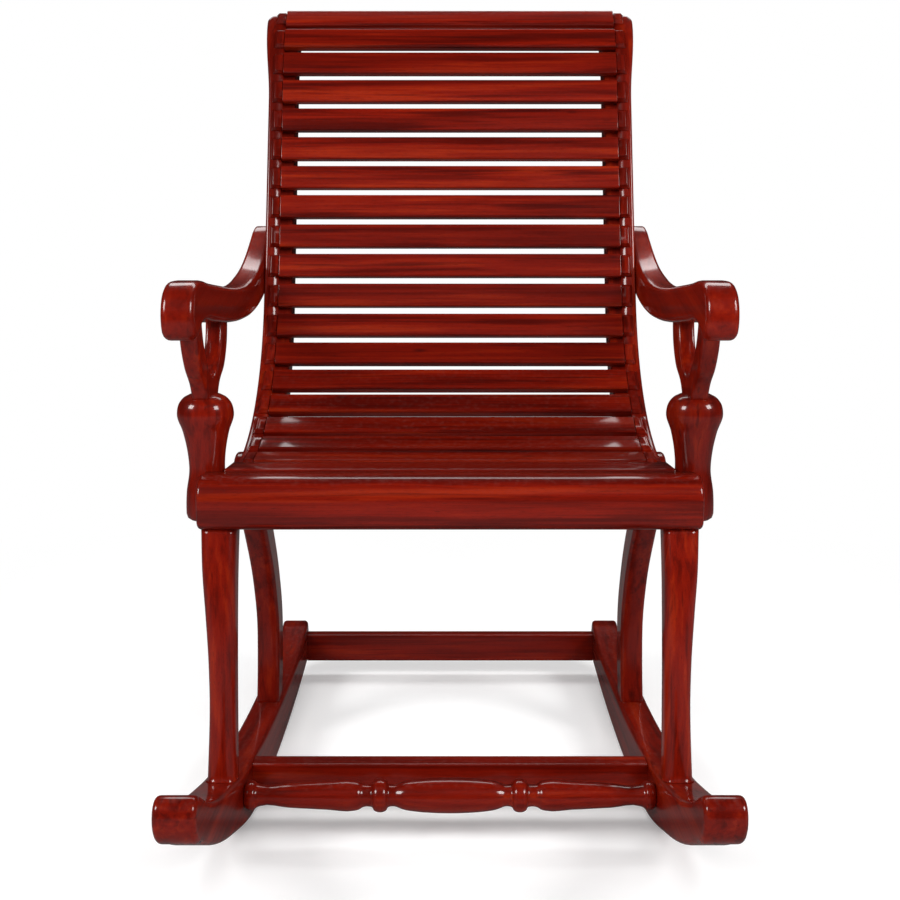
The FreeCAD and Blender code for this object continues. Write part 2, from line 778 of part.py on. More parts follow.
def post_stations():
    """Heights and radii of the turned foot and vase."""
    low, top = size("post_bottom"), size("post_shoulder")
    foot, waist, belly = size("post_foot_radius"), size("post_waist_radius"), size("post_belly_radius")
    return [(low, foot - 5.0), (low + 8.0, foot), (low + 32.0, foot - 1.0), (low + 60.0, waist),
            (low + 84.0, waist + 1.0), (low + 107.0, 0.5 * (waist + belly)), (low + 124.0, belly - 1.5),
            (top - 21.0, belly), (top - 7.0, belly - 3.0), (top, belly - 10.0)]


def loop_outline():
    """Two limbs that spread from a neck on the vase up into the underside of the arm."""
    neck = size("post_shoulder") - size("loop_sink")
    top = size("arm_under") + size("loop_sink")
    front = [(-24.0, neck), (-52.0, neck + 38.0), (-78.0, top)]
    inside = [(-49.0, top), (-24.0, neck + 50.0), (6.0, neck + 30.0), (38.0, neck + 50.0), (60.0, top)]
    rear = [(97.0, top), (66.0, neck + 37.0), (24.0, neck)]
    corners = polygon([front[-1], inside[0], inside[-1], rear[0], rear[-1], front[0]])
    return corners[::2] + through(front) + through(inside) + through(rear)


post_body = turning("post_body", "XY_Plane", post_stations())
loop_body = new_body("loop_body")
loop_sketch = new_sketch(loop_body, "loop_sketch", "YZ_Plane", loop_outline(), -0.5 * size("loop_thick"))
loop_pad = pad(loop_body, loop_sketch, "Sizes.loop_thick")
for body in (post_body, loop_body):
    body.Placement = Placement(Vector(size("post_x"), size("post_y"), 0.0), Rotation())
post_whole = fuse("post_with_loop", post_body, loop_body)
flat_depth = size("post_x") - size("rail_inner")
foot_flat = block("foot_flat", "Sizes.post_x - Sizes.rail_inner", "4 * Sizes.post_foot_radius",
                  "Sizes.rail_depth * 1.5",
                  (size("rail_outer") - flat_depth, size("post_y") - 2.0 * size("post_foot_radius"),
                   size("post_bottom") - size("glue_gap")))
post = cut("post_cut", post_whole, foot_flat, *[pair[1] for pair in post_pegs["right"]])
keep_pair(post, "arm_post")


# Arms: an S-shaped board with a dropped nose, pegged to the stile

def arm_outline():
    """Side view, closed: along the top to the rear end, then back along the underside."""
    return through([
        (-222.0, 676.0), (20.0, 672.0), (168.0, 705.0), (226.0, 741.5), (261.0, 759.0), (275.5, 738.0),
        (191.0, 666.5), (94.0, 637.0), (-130.0, 630.0), (-232.0, 612.0), (-250.0, 638.0)], closed=True)


arm_body = new_body("arm_body")
arm_sketch = new_sketch(arm_body, "arm_sketch", "YZ_Plane", arm_outline())
arm_pad = pad(arm_body, arm_sketch, "Sizes.arm_thick")
arm_sides = (0.0, size("arm_thick"))
ease(arm_body, arm_pad, lambda edge: x_face(edge, arm_sides), "Sizes.arm_edge")
hinge = Vector(0.0, size("arm_hinge_y"), 0.0)
upright = Vector(0.0, 0.0, 1.0)
splay_turn = math.degrees(math.atan(size("arm_splay") / size("arm_hinge_y")))
arm_body.Placement = Placement(Vector(size("rail_outer"), 0.0, 0.0), Rotation(upright, splay_turn), hinge)
arm_low = size("arm_under") - 2.0 * size("arm_thick")
stile_side = block("stile_side", "Sizes.arm_edge", "Sizes.arm_thick * 4", "Sizes.arm_thick * 6",
                   (size("rail_outer") - size("arm_edge"), size("arm_hinge_y"), arm_low))
rear_shave = block("rear_shave", "Sizes.arm_thick", "Sizes.arm_thick * 5", "Sizes.arm_thick * 6",
                   (0.0, 0.0, 0.0))
shave_turn = math.degrees(math.atan((size("arm_thick") - size("arm_rear_thick")) / size("arm_taper")))
rear_shave.Placement = Placement(Vector(size("rail_outer") + size("arm_thick"), size("arm_taper"), arm_low),
                                 Rotation(upright, shave_turn))
arm_shaped = cut("arm_shaped", arm_body, stile_side, rear_shave)
arm = cut("arm_cut", arm_shaped, post_whole, *[pair[1] for pair in arm_pegs["right"]])
keep_pair(arm, "arm")


# Stretchers between the rockers

TENON_REACH = size("rocker_inner") + size("tenon_long") - 2.0


def turned_stations():
    """Places and radii from the middle of the bulb to the end of the right-hand tenon."""
    inner, bulb = size("rocker_inner"), size("bulb_radius")
    drops = [(0.0, 0.0), (38.0, 1.6), (63.0, 7.0), (75.0, 7.5), (80.0, 2.0), (90.0, 2.0), (95.0, 7.5),
             (112.0, 3.5), (inner - 18.0, 8.0), (inner - 9.0, 4.0), (inner, 13.0), (TENON_REACH, 13.0)]
    return [(x, bulb - drop) for x, drop in drops]


right_half = turned_stations()
left_half = [(-x, radius) for x, radius in right_half[:0:-1]]
turned_body = turning("turned_body", "YZ_Plane", left_half + right_half)
turned_body.Placement = Placement(Vector(0.0, size("turned_y"), size("turned_z")), Rotation())
keep(turned_body, "turned_stretcher")


def flat_stretcher(name, low_y, depth, top_z, height):
    """Plain bar between the rockers, with a tenon at each end."""
    bar = block(name + "_bar", "2 * Sizes.rocker_inner", "Sizes." + depth, "Sizes." + height,
                (-size("rocker_inner"), low_y, top_z - size(height)))
    inset = block(name + "_tenon", "2 * (Sizes.rocker_inner + Sizes.tenon_long)", "Sizes.%s - 12" % depth,
                "Sizes.%s - 14" % height,
                (-size("rocker_inner") - size("tenon_long"), low_y + 6.0, top_z - size(height) + 7.0))
    return keep(fuse(name + "_joined", bar, inset), name)


mid = flat_stretcher("mid_stretcher", size("mid_rear") - size("mid_depth"), "mid_depth", size("mid_top"),
                     "mid_height")
rear = flat_stretcher("rear_stretcher", size("rear_front"), "rear_depth", size("rear_top"), "rear_height")

rocker = cut("rocker_cut", rocker_body, front_peg, back_peg, turned_body, mid, rear)
keep_pair(rocker, "rocker")


# Pegs, one group for each kind and side

for index, side in enumerate(("left", "right")):
    rods = [pairs[index][0] for pairs in slat_pegs] + [board_pegs[side][0][0]]
    group("slat_peg_group_" + side, "slat_pegs_" + side, rods)
for name, pairs in (("arm_pegs", arm_pegs), ("post_pegs", post_pegs), ("back_leg_pegs", lap_pegs)):
    group(name + "_group", name, [pair[0] for side in ("left", "right") for pair in pairs[side]])


# Check everything, then write one file for each sub-part

doc.recompute()
failed = [obj.Name for obj in doc.Objects if "Invalid" in obj.State or "Error" in obj.State]
if failed:
    raise RuntimeError("failed features: " + ", ".join(failed))
os.makedirs("parts", exist_ok=True)
for feature in parts:
    if feature.Shape.isNull() or not feature.Shape.isValid():
        raise RuntimeError("bad shape: " + feature.Label)
    feature.Shape.exportStep("parts/%s.step" % feature.Label)
    box = feature.Shape.BoundBox
    print("%-20s solids %d  x %.1f..%.1f  y %.1f..%.1f  z %.1f..%.1f" % (
        feature.Label, len(feature.Shape.Solids), box.XMin, box.XMax, box.YMin, box.YMax, box.ZMin, box.ZMax))
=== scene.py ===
"""Slatted rocking chair: rounded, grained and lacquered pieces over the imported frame."""

import logging
import math
from collections.abc import Callable, Sequence
from dataclasses import dataclass, field
from enum import Enum

import bmesh
import bpy
from mathutils import Matrix, Vector

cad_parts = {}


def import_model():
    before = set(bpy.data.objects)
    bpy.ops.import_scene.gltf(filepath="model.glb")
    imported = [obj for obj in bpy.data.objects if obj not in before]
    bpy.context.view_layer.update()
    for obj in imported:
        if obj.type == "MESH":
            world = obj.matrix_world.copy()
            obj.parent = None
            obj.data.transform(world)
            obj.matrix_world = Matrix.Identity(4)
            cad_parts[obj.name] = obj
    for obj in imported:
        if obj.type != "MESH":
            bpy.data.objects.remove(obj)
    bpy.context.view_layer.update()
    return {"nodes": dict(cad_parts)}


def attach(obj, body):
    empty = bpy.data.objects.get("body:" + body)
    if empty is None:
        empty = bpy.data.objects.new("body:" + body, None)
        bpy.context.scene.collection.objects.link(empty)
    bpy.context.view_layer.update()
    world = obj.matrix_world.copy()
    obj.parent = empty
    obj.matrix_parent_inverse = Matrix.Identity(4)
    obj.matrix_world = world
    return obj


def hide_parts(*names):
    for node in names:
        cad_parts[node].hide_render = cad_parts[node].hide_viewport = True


log = logging.getLogger("rocking_chair")

Point = tuple[float, float]
Colour = tuple[float, float, float, float]
Socket = bpy.types.NodeSocket
GRAIN = "grain"


class Grain(Enum):
    """Which way the wood of a piece runs: its first axis is along the grain."""

    ALONG_X = ((1, 0, 0), (0, 1, 0), (0, 0, 1))
    ALONG_Y = ((0, 1, 0), (1, 0, 0), (0, 0, 1))
    ALONG_Z = ((0, 0, 1), (1, 0, 0), (0, 1, 0))
    LEANING = ((0, 0.271, 0.963), (1, 0, 0), (0, 0.963, -0.271))
    SLOPING = ((0, 0.94, 0.342), (1, 0, 0), (0, -0.342, 0.94))


# Flat curves and outlines


def heading_at(before: Vector, here: Vector, beyond: Vector) -> Vector:
    """Gives the direction of a smooth curve at a point between two others.

    Args:
        before: Point before it.
        here: The point.
        beyond: Point after it.

    Returns:
        Unit vector along the curve.
    """
    back, ahead = here - before, beyond - here
    share = ahead.length / back.length
    return (back * share + ahead / share).normalized()


def blend_weights(t: float) -> tuple[float, float, float, float]:
    """Weights of a cubic stretch's start, the slope there, its end and the slope there."""
    return (1 + 2 * t) * (1 - t) ** 2, t * (1 - t) ** 2, t * t * (3 - 2 * t), t * t * (t - 1)


def curve_through(points: Sequence[Point], closed: bool = False, steps: int = 8) -> list[Point]:
    """Draws a smooth curve through points.

    Args:
        points: Points that the curve passes.
        closed: Whether it returns to its start.
        steps: Points made for each stretch.

    Returns:
        Points along the curve, without the repeated start of a closed one.
    """
    marks = [Vector(p) for p in points]
    count = len(marks)
    headings = [heading_at(marks[i - 1], marks[i], marks[(i + 1) % count]) for i in range(count)]
    if not closed:
        for end, inner, sign in ((0, 1, 1.0), (count - 1, count - 2, -1.0)):
            chord = (marks[inner] - marks[end]).normalized() * sign
            headings[end] = (chord * (2.0 * chord.dot(headings[inner])) - headings[inner]).normalized()
    curve = []
    for i in range(count if closed else count - 1):
        j = (i + 1) % count
        span = (marks[j] - marks[i]).length
        for k in range(steps):
            a, b, c, d = blend_weights(k / steps)
            here = marks[i] * a + headings[i] * (b * span) + marks[j] * c + headings[j] * (d * span)
            curve.append((here.x, here.y))
    if not closed:
        curve.append(tuple(marks[-1]))
    return curve


def arc_through(a: Point, b: Point, c: Point, steps: int = 12) -> list[Point]:
    """Draws the arc from a over b to c.

    Args:
        a: Start.
        b: A point on the arc.
        c: End.
        steps: Stretches that the arc is divided into.

    Returns:
        Points from a to c, both included.
    """
    ax, ay, bx, by, cx, cy = *a, *b, *c
    d = 2 * (ax * (by - cy) + bx * (cy - ay) + cx * (ay - by))
    sa, sb, sc = ax * ax + ay * ay, bx * bx + by * by, cx * cx + cy * cy
    x = (sa * (by - cy) + sb * (cy - ay) + sc * (ay - by)) / d
    y = (sa * (cx - bx) + sb * (ax - cx) + sc * (bx - ax)) / d
    radius = math.hypot(ax - x, ay - y)
    start = math.atan2(ay - y, ax - x)
    turn = (math.atan2(cy - y, cx - x) - start) % math.tau
    if (math.atan2(by - y, bx - x) - start) % math.tau > turn:
        turn -= math.tau
    angles = [start + turn * k / steps for k in range(steps + 1)]
    return [(x + radius * math.cos(angle), y + radius * math.sin(angle)) for angle in angles]


def rounded_corners(corners: Sequence[tuple[float, float, float]], steps: int = 6) -> list[Point]:
    """Rounds the corners of a closed outline.

    Args:
        corners: Each corner's two places and its radius, in order round the outline.
        steps: Stretches in each rounded corner.

    Returns:
        Points of the outline.
    """
    outline = []
    for i, (x, y, radius) in enumerate(corners):
        here = Vector((x, y))
        back = (Vector(corners[i - 1][:2]) - here).normalized()
        ahead = (Vector(corners[(i + 1) % len(corners)][:2]) - here).normalized()
        half = 0.5 * back.angle(ahead)
        if radius <= 0.0 or half > 1.55:
            outline.append((x, y))
            continue
        start, end = here + back * (radius / math.tan(half)), here + ahead * (radius / math.tan(half))
        centre = here + (back + ahead).normalized() * (radius / math.sin(half))
        middle = centre + (here - centre).normalized() * radius
        outline += arc_through(tuple(start), tuple(middle), tuple(end), steps)
    return outline


def inset(outline: Sequence[Point], amount: float) -> list[Point]:
    """Moves every point of a closed outline inwards.

    Args:
        outline: Points in order round the outline, either way.
        amount: Distance inwards, negative for outwards.

    Returns:
        As many points as the outline has.
    """
    area = sum(a[0] * b[1] - b[0] * a[1] for a, b in zip(outline, [*outline[1:], outline[0]]))
    sign = 1.0 if area > 0 else -1.0
    moved = []
    for i, here in enumerate(outline):
        back = Vector(here) - Vector(outline[i - 1])
        ahead = Vector(outline[(i + 1) % len(outline)]) - Vector(here)
        back, ahead = back.normalized(), ahead.normalized()
        normal = Vector((-(back.y + ahead.y), back.x + ahead.x))
        if normal.length < 1e-9:
            moved.append(tuple(here))
            continue
        normal.normalize()
        miter = 1.0 / max(0.6, normal.dot(Vector((-back.y, back.x))))
        moved.append(tuple(Vector(here) + normal * (sign * amount * miter)))
    return moved


def clear_corners(outline: Sequence[Point], reach: float) -> list[Point]:
    """Leaves out points that stand too close to a sharp corner to be moved inwards with it.

    Args:
        outline: Points of a closed outline.
        reach: Least distance from a sharp corner.

    Returns:
        The points that stay.
    """
    marks = [Vector(p) for p in outline]
    sharp = [here for i, here in enumerate(marks)
             if (here - marks[i - 1]).angle(marks[(i + 1) % len(marks)] - here, 0.0) > 0.8]
    return [tuple(here) for here in marks
            if all(here == corner or (here - corner).length > reach for corner in sharp)]


def value_between(stations: Sequence[tuple[float, ...]], at: float) -> tuple[float, ...]:
    """Reads smooth values between stations.

    Args:
        stations: Rows that start with the place, in rising order, followed by the values there.
        at: The place to read.

    Returns:
        The values at that place, held at both ends.
    """
    if at <= stations[0][0]:
        return stations[0][1:]
    if at >= stations[-1][0]:
        return stations[-1][1:]
    i = max(k for k, row in enumerate(stations[:-1]) if row[0] <= at)
    low, high = stations[i], stations[i + 1]
    span = high[0] - low[0]
    a, b, c, d = blend_weights((at - low[0]) / span)
    before, beyond = stations[max(i - 1, 0)], stations[min(i + 2, len(stations) - 1)]
    values = []
    for k in range(1, len(low)):
        slope_low = (high[k] - before[k]) / (high[0] - before[0])
        slope_high = (beyond[k] - low[k]) / (beyond[0] - low[0])
        values.append(a * low[k] + b * slope_low * span + c * high[k] + d * slope_high * span)
    return tuple(values)


def ease(share: float) -> float:
    """Smooth step from 0 to 1."""
    share = min(1.0, max(0.0, share))
    return share * share * (3 - 2 * share)


def at_width(x: float, p: Point) -> Vector:
    """Puts a point of a side view at a place across the chair."""
    return Vector((x, *p))


# Meshes


@dataclass
class Shell:
    """A mesh being built from stacks of rings."""

    points: list[Vector] = field(default_factory=list)
    faces: list[tuple[int, ...]] = field(default_factory=list)

    def add_rings(self, rings: Sequence[Sequence[Vector]]) -> "Shell":
        """Joins closed rings of equal length in order, and closes both ends.

        Args:
            rings: At least two rings.

        Returns:
            The shell.
        """
        start, count = len(self.points), len(rings[0])
        for ring in rings:
            self.points.extend(ring)
        for row in range(len(rings) - 1):
            low = start + row * count
            for i in range(count):
                j = (i + 1) % count
                self.faces.append((low + i, low + j, low + count + j, low + count + i))
        last = start + (len(rings) - 1) * count
        self.faces.append(tuple(range(start + count - 1, start - 1, -1)))
        self.faces.append(tuple(range(last, last + count)))
        return self

    def mirrored(self) -> "Shell":
        """Gives the same shell on the other side of x = 0."""
        points = [Vector((-p.x, p.y, p.z)) for p in self.points]
        return Shell(points, [tuple(reversed(face)) for face in self.faces])

    def to_mesh(self, name: str, grain: Grain, offset: Vector) -> bpy.types.Mesh:
        """Makes the Blender mesh, with the grain's own coordinates stored on its points.

        Args:
            name: Name of the mesh.
            grain: Which way the wood runs.
            offset: Where in the log the piece was cut.

        Returns:
            A smooth-shaded mesh.
        """
        mesh = bpy.data.meshes.new(name)
        mesh.from_pydata([tuple(p) for p in self.points], [], self.faces)
        work = bmesh.new()
        work.from_mesh(mesh)
        bmesh.ops.recalc_face_normals(work, faces=work.faces)
        work.to_mesh(mesh)
        work.free()
        mesh.shade_smooth()
        stored = mesh.attributes.new(GRAIN, "FLOAT_VECTOR", "POINT")
        axes = Matrix(grain.value)
        stored.data.foreach_set("vector", [c for v in mesh.vertices for c in (axes @ v.co + offset)])
        return mesh


def edge_steps(edge: float, steps: int = 5) -> list[tuple[float, float]]:
    """Gives a quarter round.

    Args:
        edge: Its radius.
        steps: Stretches in it.

    Returns:
        For each ring, how far it is from the end face and how far it is inset.
    """
    angles = [0.5 * math.pi * k / steps for k in range(steps + 1)]
    return [(0.0, 1.25 * edge)] + [(edge * (1 - math.cos(a)), edge * (1 - math.sin(a))) for a in angles]


def slab(outline: Sequence[Point], low: float, high: float, edge: float,
         place: Callable[[float, Point], Vector], middles: int = 0) -> Shell:
    """Builds a plate between two sides, with its edges rounded.

    Args:
        outline: The plate's outline.
        low: Place of one side.
        high: Place of the other.
        edge: Radius of the rounded edges.
        place: Turns a place between the sides and a point of the outline into a point in space.
        middles: Further rings between the sides.

    Returns:
        A closed shell.
    """
    outline = clear_corners(outline, 2.0 * edge)
    ends = edge_steps(edge)
    flats = [(low + edge + (high - low - 2 * edge) * k / (middles + 1), 0.0) for k in range(1, middles + 1)]
    stack = [(low + far, inner) for far, inner in ends] + flats + [(high - far, inner) for far, inner in ends[::-1]]
    rings = []
    for at, inner in stack:
        loop = inset(outline, inner) if inner > 0.0 else outline
        rings.append([place(at, p) for p in loop])
    return Shell().add_rings(rings)


def lathe(profile: Sequence[Point], place: Callable[[float, float, float], Vector], around: int = 56) -> Shell:
    """Turns a profile.

    Args:
        profile: Places along the axis and the radius at each.
        place: Turns a place along the axis and two places across it into a point in space.
        around: Points round the axis.

    Returns:
        A closed shell.
    """
    spokes = [math.tau * k / around for k in range(around)]
    rings = [[place(at, radius * math.cos(s), radius * math.sin(s)) for s in spokes] for at, radius in profile]
    return Shell().add_rings(rings)


# Finishes


@dataclass
class Graph:
    """Adds nodes to a node tree and links them."""

    tree: bpy.types.NodeTree

    def add(self, kind: str, inputs: dict[str | int, object] | None = None, **settings: object) -> bpy.types.Node:
        """Adds a node.

        Args:
            kind: Its type name.
            inputs: Values or output sockets for its inputs, by name or number.
            settings: Its own properties.

        Returns:
            The node.
        """
        node = self.tree.nodes.new(kind)
        for name, value in settings.items():
            setattr(node, name, value)
        for name, value in (inputs or {}).items():
            if isinstance(value, Socket):
                self.tree.links.new(value, node.inputs[name])
            else:
                node.inputs[name].default_value = value
        return node

    def math(self, operation: str, a: object, b: object = 0.0) -> Socket:
        """Adds a math node and returns its output."""
        return self.add("ShaderNodeMath", {0: a, 1: b}, operation=operation).outputs[0]

    def stretch(self, vector: Socket, scale: tuple[float, float, float]) -> Socket:
        """Scales a vector and returns it."""
        return self.add("ShaderNodeVectorMath", {0: vector, 1: scale}, operation="MULTIPLY").outputs[0]

    def noise(self, vector: Socket, scale: tuple[float, float, float], detail: float = 3.0,
              distortion: float = 0.0, roughness: float = 0.5) -> Socket:
        """Adds stretched noise.

        Args:
            vector: Where to read it.
            scale: How often it changes along each axis, per metre.
            detail: Its finer layers.
            distortion: How much it is stirred.
            roughness: Weight of the finer layers.

        Returns:
            Its value, from 0 to 1.
        """
        inputs = {"Vector": self.stretch(vector, scale), "Scale": 1.0, "Detail": detail, "Distortion": distortion,
                  "Roughness": roughness}
        return self.add("ShaderNodeTexNoise", inputs).outputs[0]

    def between(self, value: Socket, low: float, high: float, out_low: float = 0.0,
                out_high: float = 1.0) -> Socket:
        """Spreads a value from one range smoothly over another and returns it."""
        inputs = {"Value": value, "From Min": low, "From Max": high, "To Min": out_low, "To Max": out_high}
        return self.add("ShaderNodeMapRange", inputs, interpolation_type="SMOOTHSTEP").outputs[0]

    def mix(self, share: object, a: object, b: object) -> Socket:
        """Mixes two colours.

        Args:
            share: How much of the second shows.
            a: The first colour.
            b: The second colour.

        Returns:
            The mixed colour.
        """
        node = self.add("ShaderNodeMix", data_type="RGBA")
        for socket, value in ((node.inputs[0], share), (node.inputs[6], a), (node.inputs[7], b)):
            if isinstance(value, Socket):
                self.tree.links.new(value, socket)
            else:
                socket.default_value = value
        return node.outputs[2]


def new_group(name: str, inputs: Sequence[tuple[str, str, object]], outputs: Sequence[tuple[str, str]]
              ) -> tuple[Graph, bpy.types.Node, bpy.types.Node]:
    """Starts a shader node group.

    Args:
        name: Its name.
        inputs: Name, socket type and default value of each input.
        outputs: Name and socket type of each output.

    Returns:
        Its graph, its input node and its output node.
    """
    tree = bpy.data.node_groups.new(name, "ShaderNodeTree")
    for label, kind, default in inputs:
        socket = tree.interface.new_socket(label, in_out="INPUT", socket_type=kind)
        if default is not None:
            socket.default_value = default
    for label, kind in outputs:
        tree.interface.new_socket(label, in_out="OUTPUT", socket_type=kind)
    graph = Graph(tree)
    return graph, graph.add("NodeGroupInput"), graph.add("NodeGroupOutput")


def wood_figure_group() -> bpy.types.NodeTree:
    """Builds the group that gives the wood's figure: growth streaks, dark veins, knots and pores.

    Returns:
        The node group.
    """
    graph, given, made = new_group(
        "wood_figure",
        [("Grain", "NodeSocketVector", None), ("Streak Width", "NodeSocketFloat", 1.0),
         ("Knots", "NodeSocketFloat", 1.0)],
        [("Figure", "NodeSocketFloat"), ("Vein", "NodeSocketFloat"), ("Pore", "NodeSocketFloat"),
         ("Tone", "NodeSocketFloat")])
    place = given.outputs["Grain"]
    finer = graph.math("DIVIDE", 1.0, given.outputs["Streak Width"])
    drift = graph.noise(place, (3.0, 14.0, 14.0), detail=2.0)
    sway = graph.add("ShaderNodeCombineXYZ", {"Y": graph.math("MULTIPLY", drift, 0.016)}).outputs[0]
    bent = graph.add("ShaderNodeVectorMath", {0: place, 1: sway}, operation="ADD").outputs[0]
    sized = graph.add("ShaderNodeVectorMath", {0: bent, "Scale": finer}, operation="SCALE").outputs[0]
    broad = graph.noise(sized, (3.0, 75.0, 75.0), detail=3.0, distortion=0.25)
    narrow = graph.noise(sized, (7.0, 300.0, 300.0), detail=4.0, distortion=0.3, roughness=0.6)
    figure = graph.math("ADD", graph.math("MULTIPLY", broad, 0.6), graph.math("MULTIPLY", narrow, 0.4))
    vein = graph.between(graph.noise(sized, (4.5, 190.0, 190.0), detail=2.0, distortion=0.4), 0.58, 0.72)
    cells = graph.add("ShaderNodeTexVoronoi", {"Vector": graph.stretch(bent, (7.0, 26.0, 26.0)), "Scale": 1.0})
    near_knot = graph.between(cells.outputs["Distance"], 0.10, 0.02)
    knot = graph.math("MULTIPLY", near_knot, given.outputs["Knots"])
    pore = graph.between(graph.noise(place, (90.0, 2300.0, 2300.0), detail=1.0), 0.60, 0.70)
    graph.tree.links.new(graph.between(figure, 0.30, 0.70), made.inputs["Figure"])
    graph.tree.links.new(graph.math("MAXIMUM", vein, knot), made.inputs["Vein"])
    graph.tree.links.new(pore, made.inputs["Pore"])
    graph.tree.links.new(graph.noise(place, (0.9, 7.0, 7.0), detail=1.0), made.inputs["Tone"])
    return graph.tree


def lacquer_skin_group() -> bpy.types.NodeTree:
    """Builds the group that gives the lacquer's skin: sunken pores, slow ripple and faint dust.

    Returns:
        The node group.
    """
    graph, given, made = new_group(
        "lacquer_skin",
        [("Grain", "NodeSocketVector", None), ("Pore", "NodeSocketFloat", 0.0), ("Ripple", "NodeSocketFloat", 1.0),
         ("Shine", "NodeSocketFloat", 0.2)],
        [("Height", "NodeSocketFloat"), ("Roughness", "NodeSocketFloat"), ("Dust", "NodeSocketFloat")])
    place = given.outputs["Grain"]
    ripple = graph.noise(place, (9.0, 34.0, 34.0), detail=2.0)
    brush = graph.noise(place, (16.0, 420.0, 420.0), detail=2.0)
    waves = graph.math("ADD", graph.math("MULTIPLY", ripple, given.outputs["Ripple"]),
                       graph.math("MULTIPLY", brush, 0.05))
    height = graph.math("SUBTRACT", waves, graph.math("MULTIPLY", given.outputs["Pore"], 0.06))
    rough = graph.math("ADD", given.outputs["Shine"], graph.math("MULTIPLY", brush, 0.10))
    up = graph.add("ShaderNodeSeparateXYZ", {0: graph.add("ShaderNodeNewGeometry").outputs["Normal"]}).outputs[2]
    specks = graph.between(graph.noise(place, (160.0, 160.0, 160.0), detail=3.0), 0.45, 0.75)
    dust = graph.math("MULTIPLY", graph.between(up, 0.5, 1.0), specks)
    graph.tree.links.new(height, made.inputs["Height"])
    graph.tree.links.new(rough, made.inputs["Roughness"])
    graph.tree.links.new(dust, made.inputs["Dust"])
    return graph.tree


@dataclass(frozen=True)
class LacqueredWood:
    """Dark red hardwood under a glossy lacquer."""

    name: str
    dark: Colour = (0.060, 0.0016, 0.0004, 1.0)
    plain: Colour = (0.175, 0.0052, 0.0007, 1.0)
    light: Colour = (0.300, 0.0180, 0.0016, 1.0)
    vein: Colour = (0.030, 0.0016, 0.0012, 1.0)
    streak_width: float = 1.5
    contrast: float = 1.0
    knots: float = 1.0
    ripple: float = 0.5
    shine: float = 0.30
    coat: float = 0.80
    coat_roughness: float = 0.12
    gloss: float = 0.06
    pale_share: float = 0.80
    tone_share: float = 0.45
    vein_share: float = 0.65
    pore_share: float = 0.50
    dust_share: float = 0.03
    dust: Colour = (0.50, 0.42, 0.38, 1.0)
    relief: float = 0.35
    relief_depth: float = 0.0006

    def build(self, figure: bpy.types.NodeTree, skin: bpy.types.NodeTree) -> bpy.types.Material:
        """Makes the material.

        Args:
            figure: The group that gives the wood's figure.
            skin: The group that gives the lacquer's skin.

        Returns:
            The material.
        """
        material = bpy.data.materials.new(self.name)
        material.use_nodes = True
        graph = Graph(material.node_tree)
        shader = material.node_tree.nodes["Principled BSDF"]
        place = graph.add("ShaderNodeAttribute", attribute_name=GRAIN).outputs["Vector"]
        wood = graph.add("ShaderNodeGroup", node_tree=figure)
        graph.tree.links.new(place, wood.inputs["Grain"])
        wood.inputs["Streak Width"].default_value = self.streak_width
        wood.inputs["Knots"].default_value = self.knots
        surface = graph.add("ShaderNodeGroup", node_tree=skin)
        graph.tree.links.new(place, surface.inputs["Grain"])
        graph.tree.links.new(wood.outputs["Pore"], surface.inputs["Pore"])
        surface.inputs["Ripple"].default_value = self.ripple
        surface.inputs["Shine"].default_value = self.shine
        streaks = wood.outputs["Figure"]
        layers = [
            (graph.between(streaks, 0.55, 1.0, 0.0, self.pale_share * self.contrast), self.light),
            (graph.between(wood.outputs["Tone"], 0.35, 0.70, 0.0, self.tone_share), self.dark),
            (graph.math("MULTIPLY", wood.outputs["Vein"], self.vein_share * self.contrast), self.vein),
            (graph.math("MULTIPLY", wood.outputs["Pore"], self.pore_share), self.vein),
            (graph.math("MULTIPLY", surface.outputs["Dust"], self.dust_share), self.dust)]
        body = graph.mix(graph.between(streaks, 0.0, 0.62, 1.0 - self.contrast), self.dark, self.plain)
        for share, colour in layers:
            body = graph.mix(share, body, colour)
        graph.tree.links.new(body, shader.inputs["Base Color"])
        graph.tree.links.new(surface.outputs["Roughness"], shader.inputs["Roughness"])
        bump = graph.add("ShaderNodeBump", {"Height": surface.outputs["Height"], "Strength": self.relief,
                                            "Distance": self.relief_depth})
        graph.tree.links.new(bump.outputs[0], shader.inputs["Normal"])
        shader.inputs["Coat Weight"].default_value = self.coat
        shader.inputs["Coat Roughness"].default_value = self.coat_roughness
        shader.inputs["Specular IOR Level"].default_value = self.gloss
        return material


@dataclass(frozen=True)
class PegWood:
    """Bare pale wood of the hidden pegs."""

    name: str = "peg_wood"
    dark: Colour = (0.42, 0.24, 0.12, 1.0)
    light: Colour = (0.60, 0.40, 0.22, 1.0)
    roughness: float = 0.7

    def build(self) -> bpy.types.Material:
        """Makes the material.

        Returns:
            The material.
        """
        material = bpy.data.materials.new(self.name)
        material.use_nodes = True
        graph = Graph(material.node_tree)
        shader = material.node_tree.nodes["Principled BSDF"]
        place = graph.add("ShaderNodeTexCoord").outputs["Object"]
        lines = graph.noise(place, (500.0, 500.0, 40.0), detail=3.0)
        colour = graph.mix(lines, self.dark, self.light)
        graph.tree.links.new(colour, shader.inputs["Base Color"])
        bump = graph.add("ShaderNodeBump", {"Height": lines, "Strength": 0.3, "Distance": 0.0003})
        graph.tree.links.new(bump.outputs[0], shader.inputs["Normal"])
        shader.inputs["Roughness"].default_value = self.roughness
        return material


# The chair


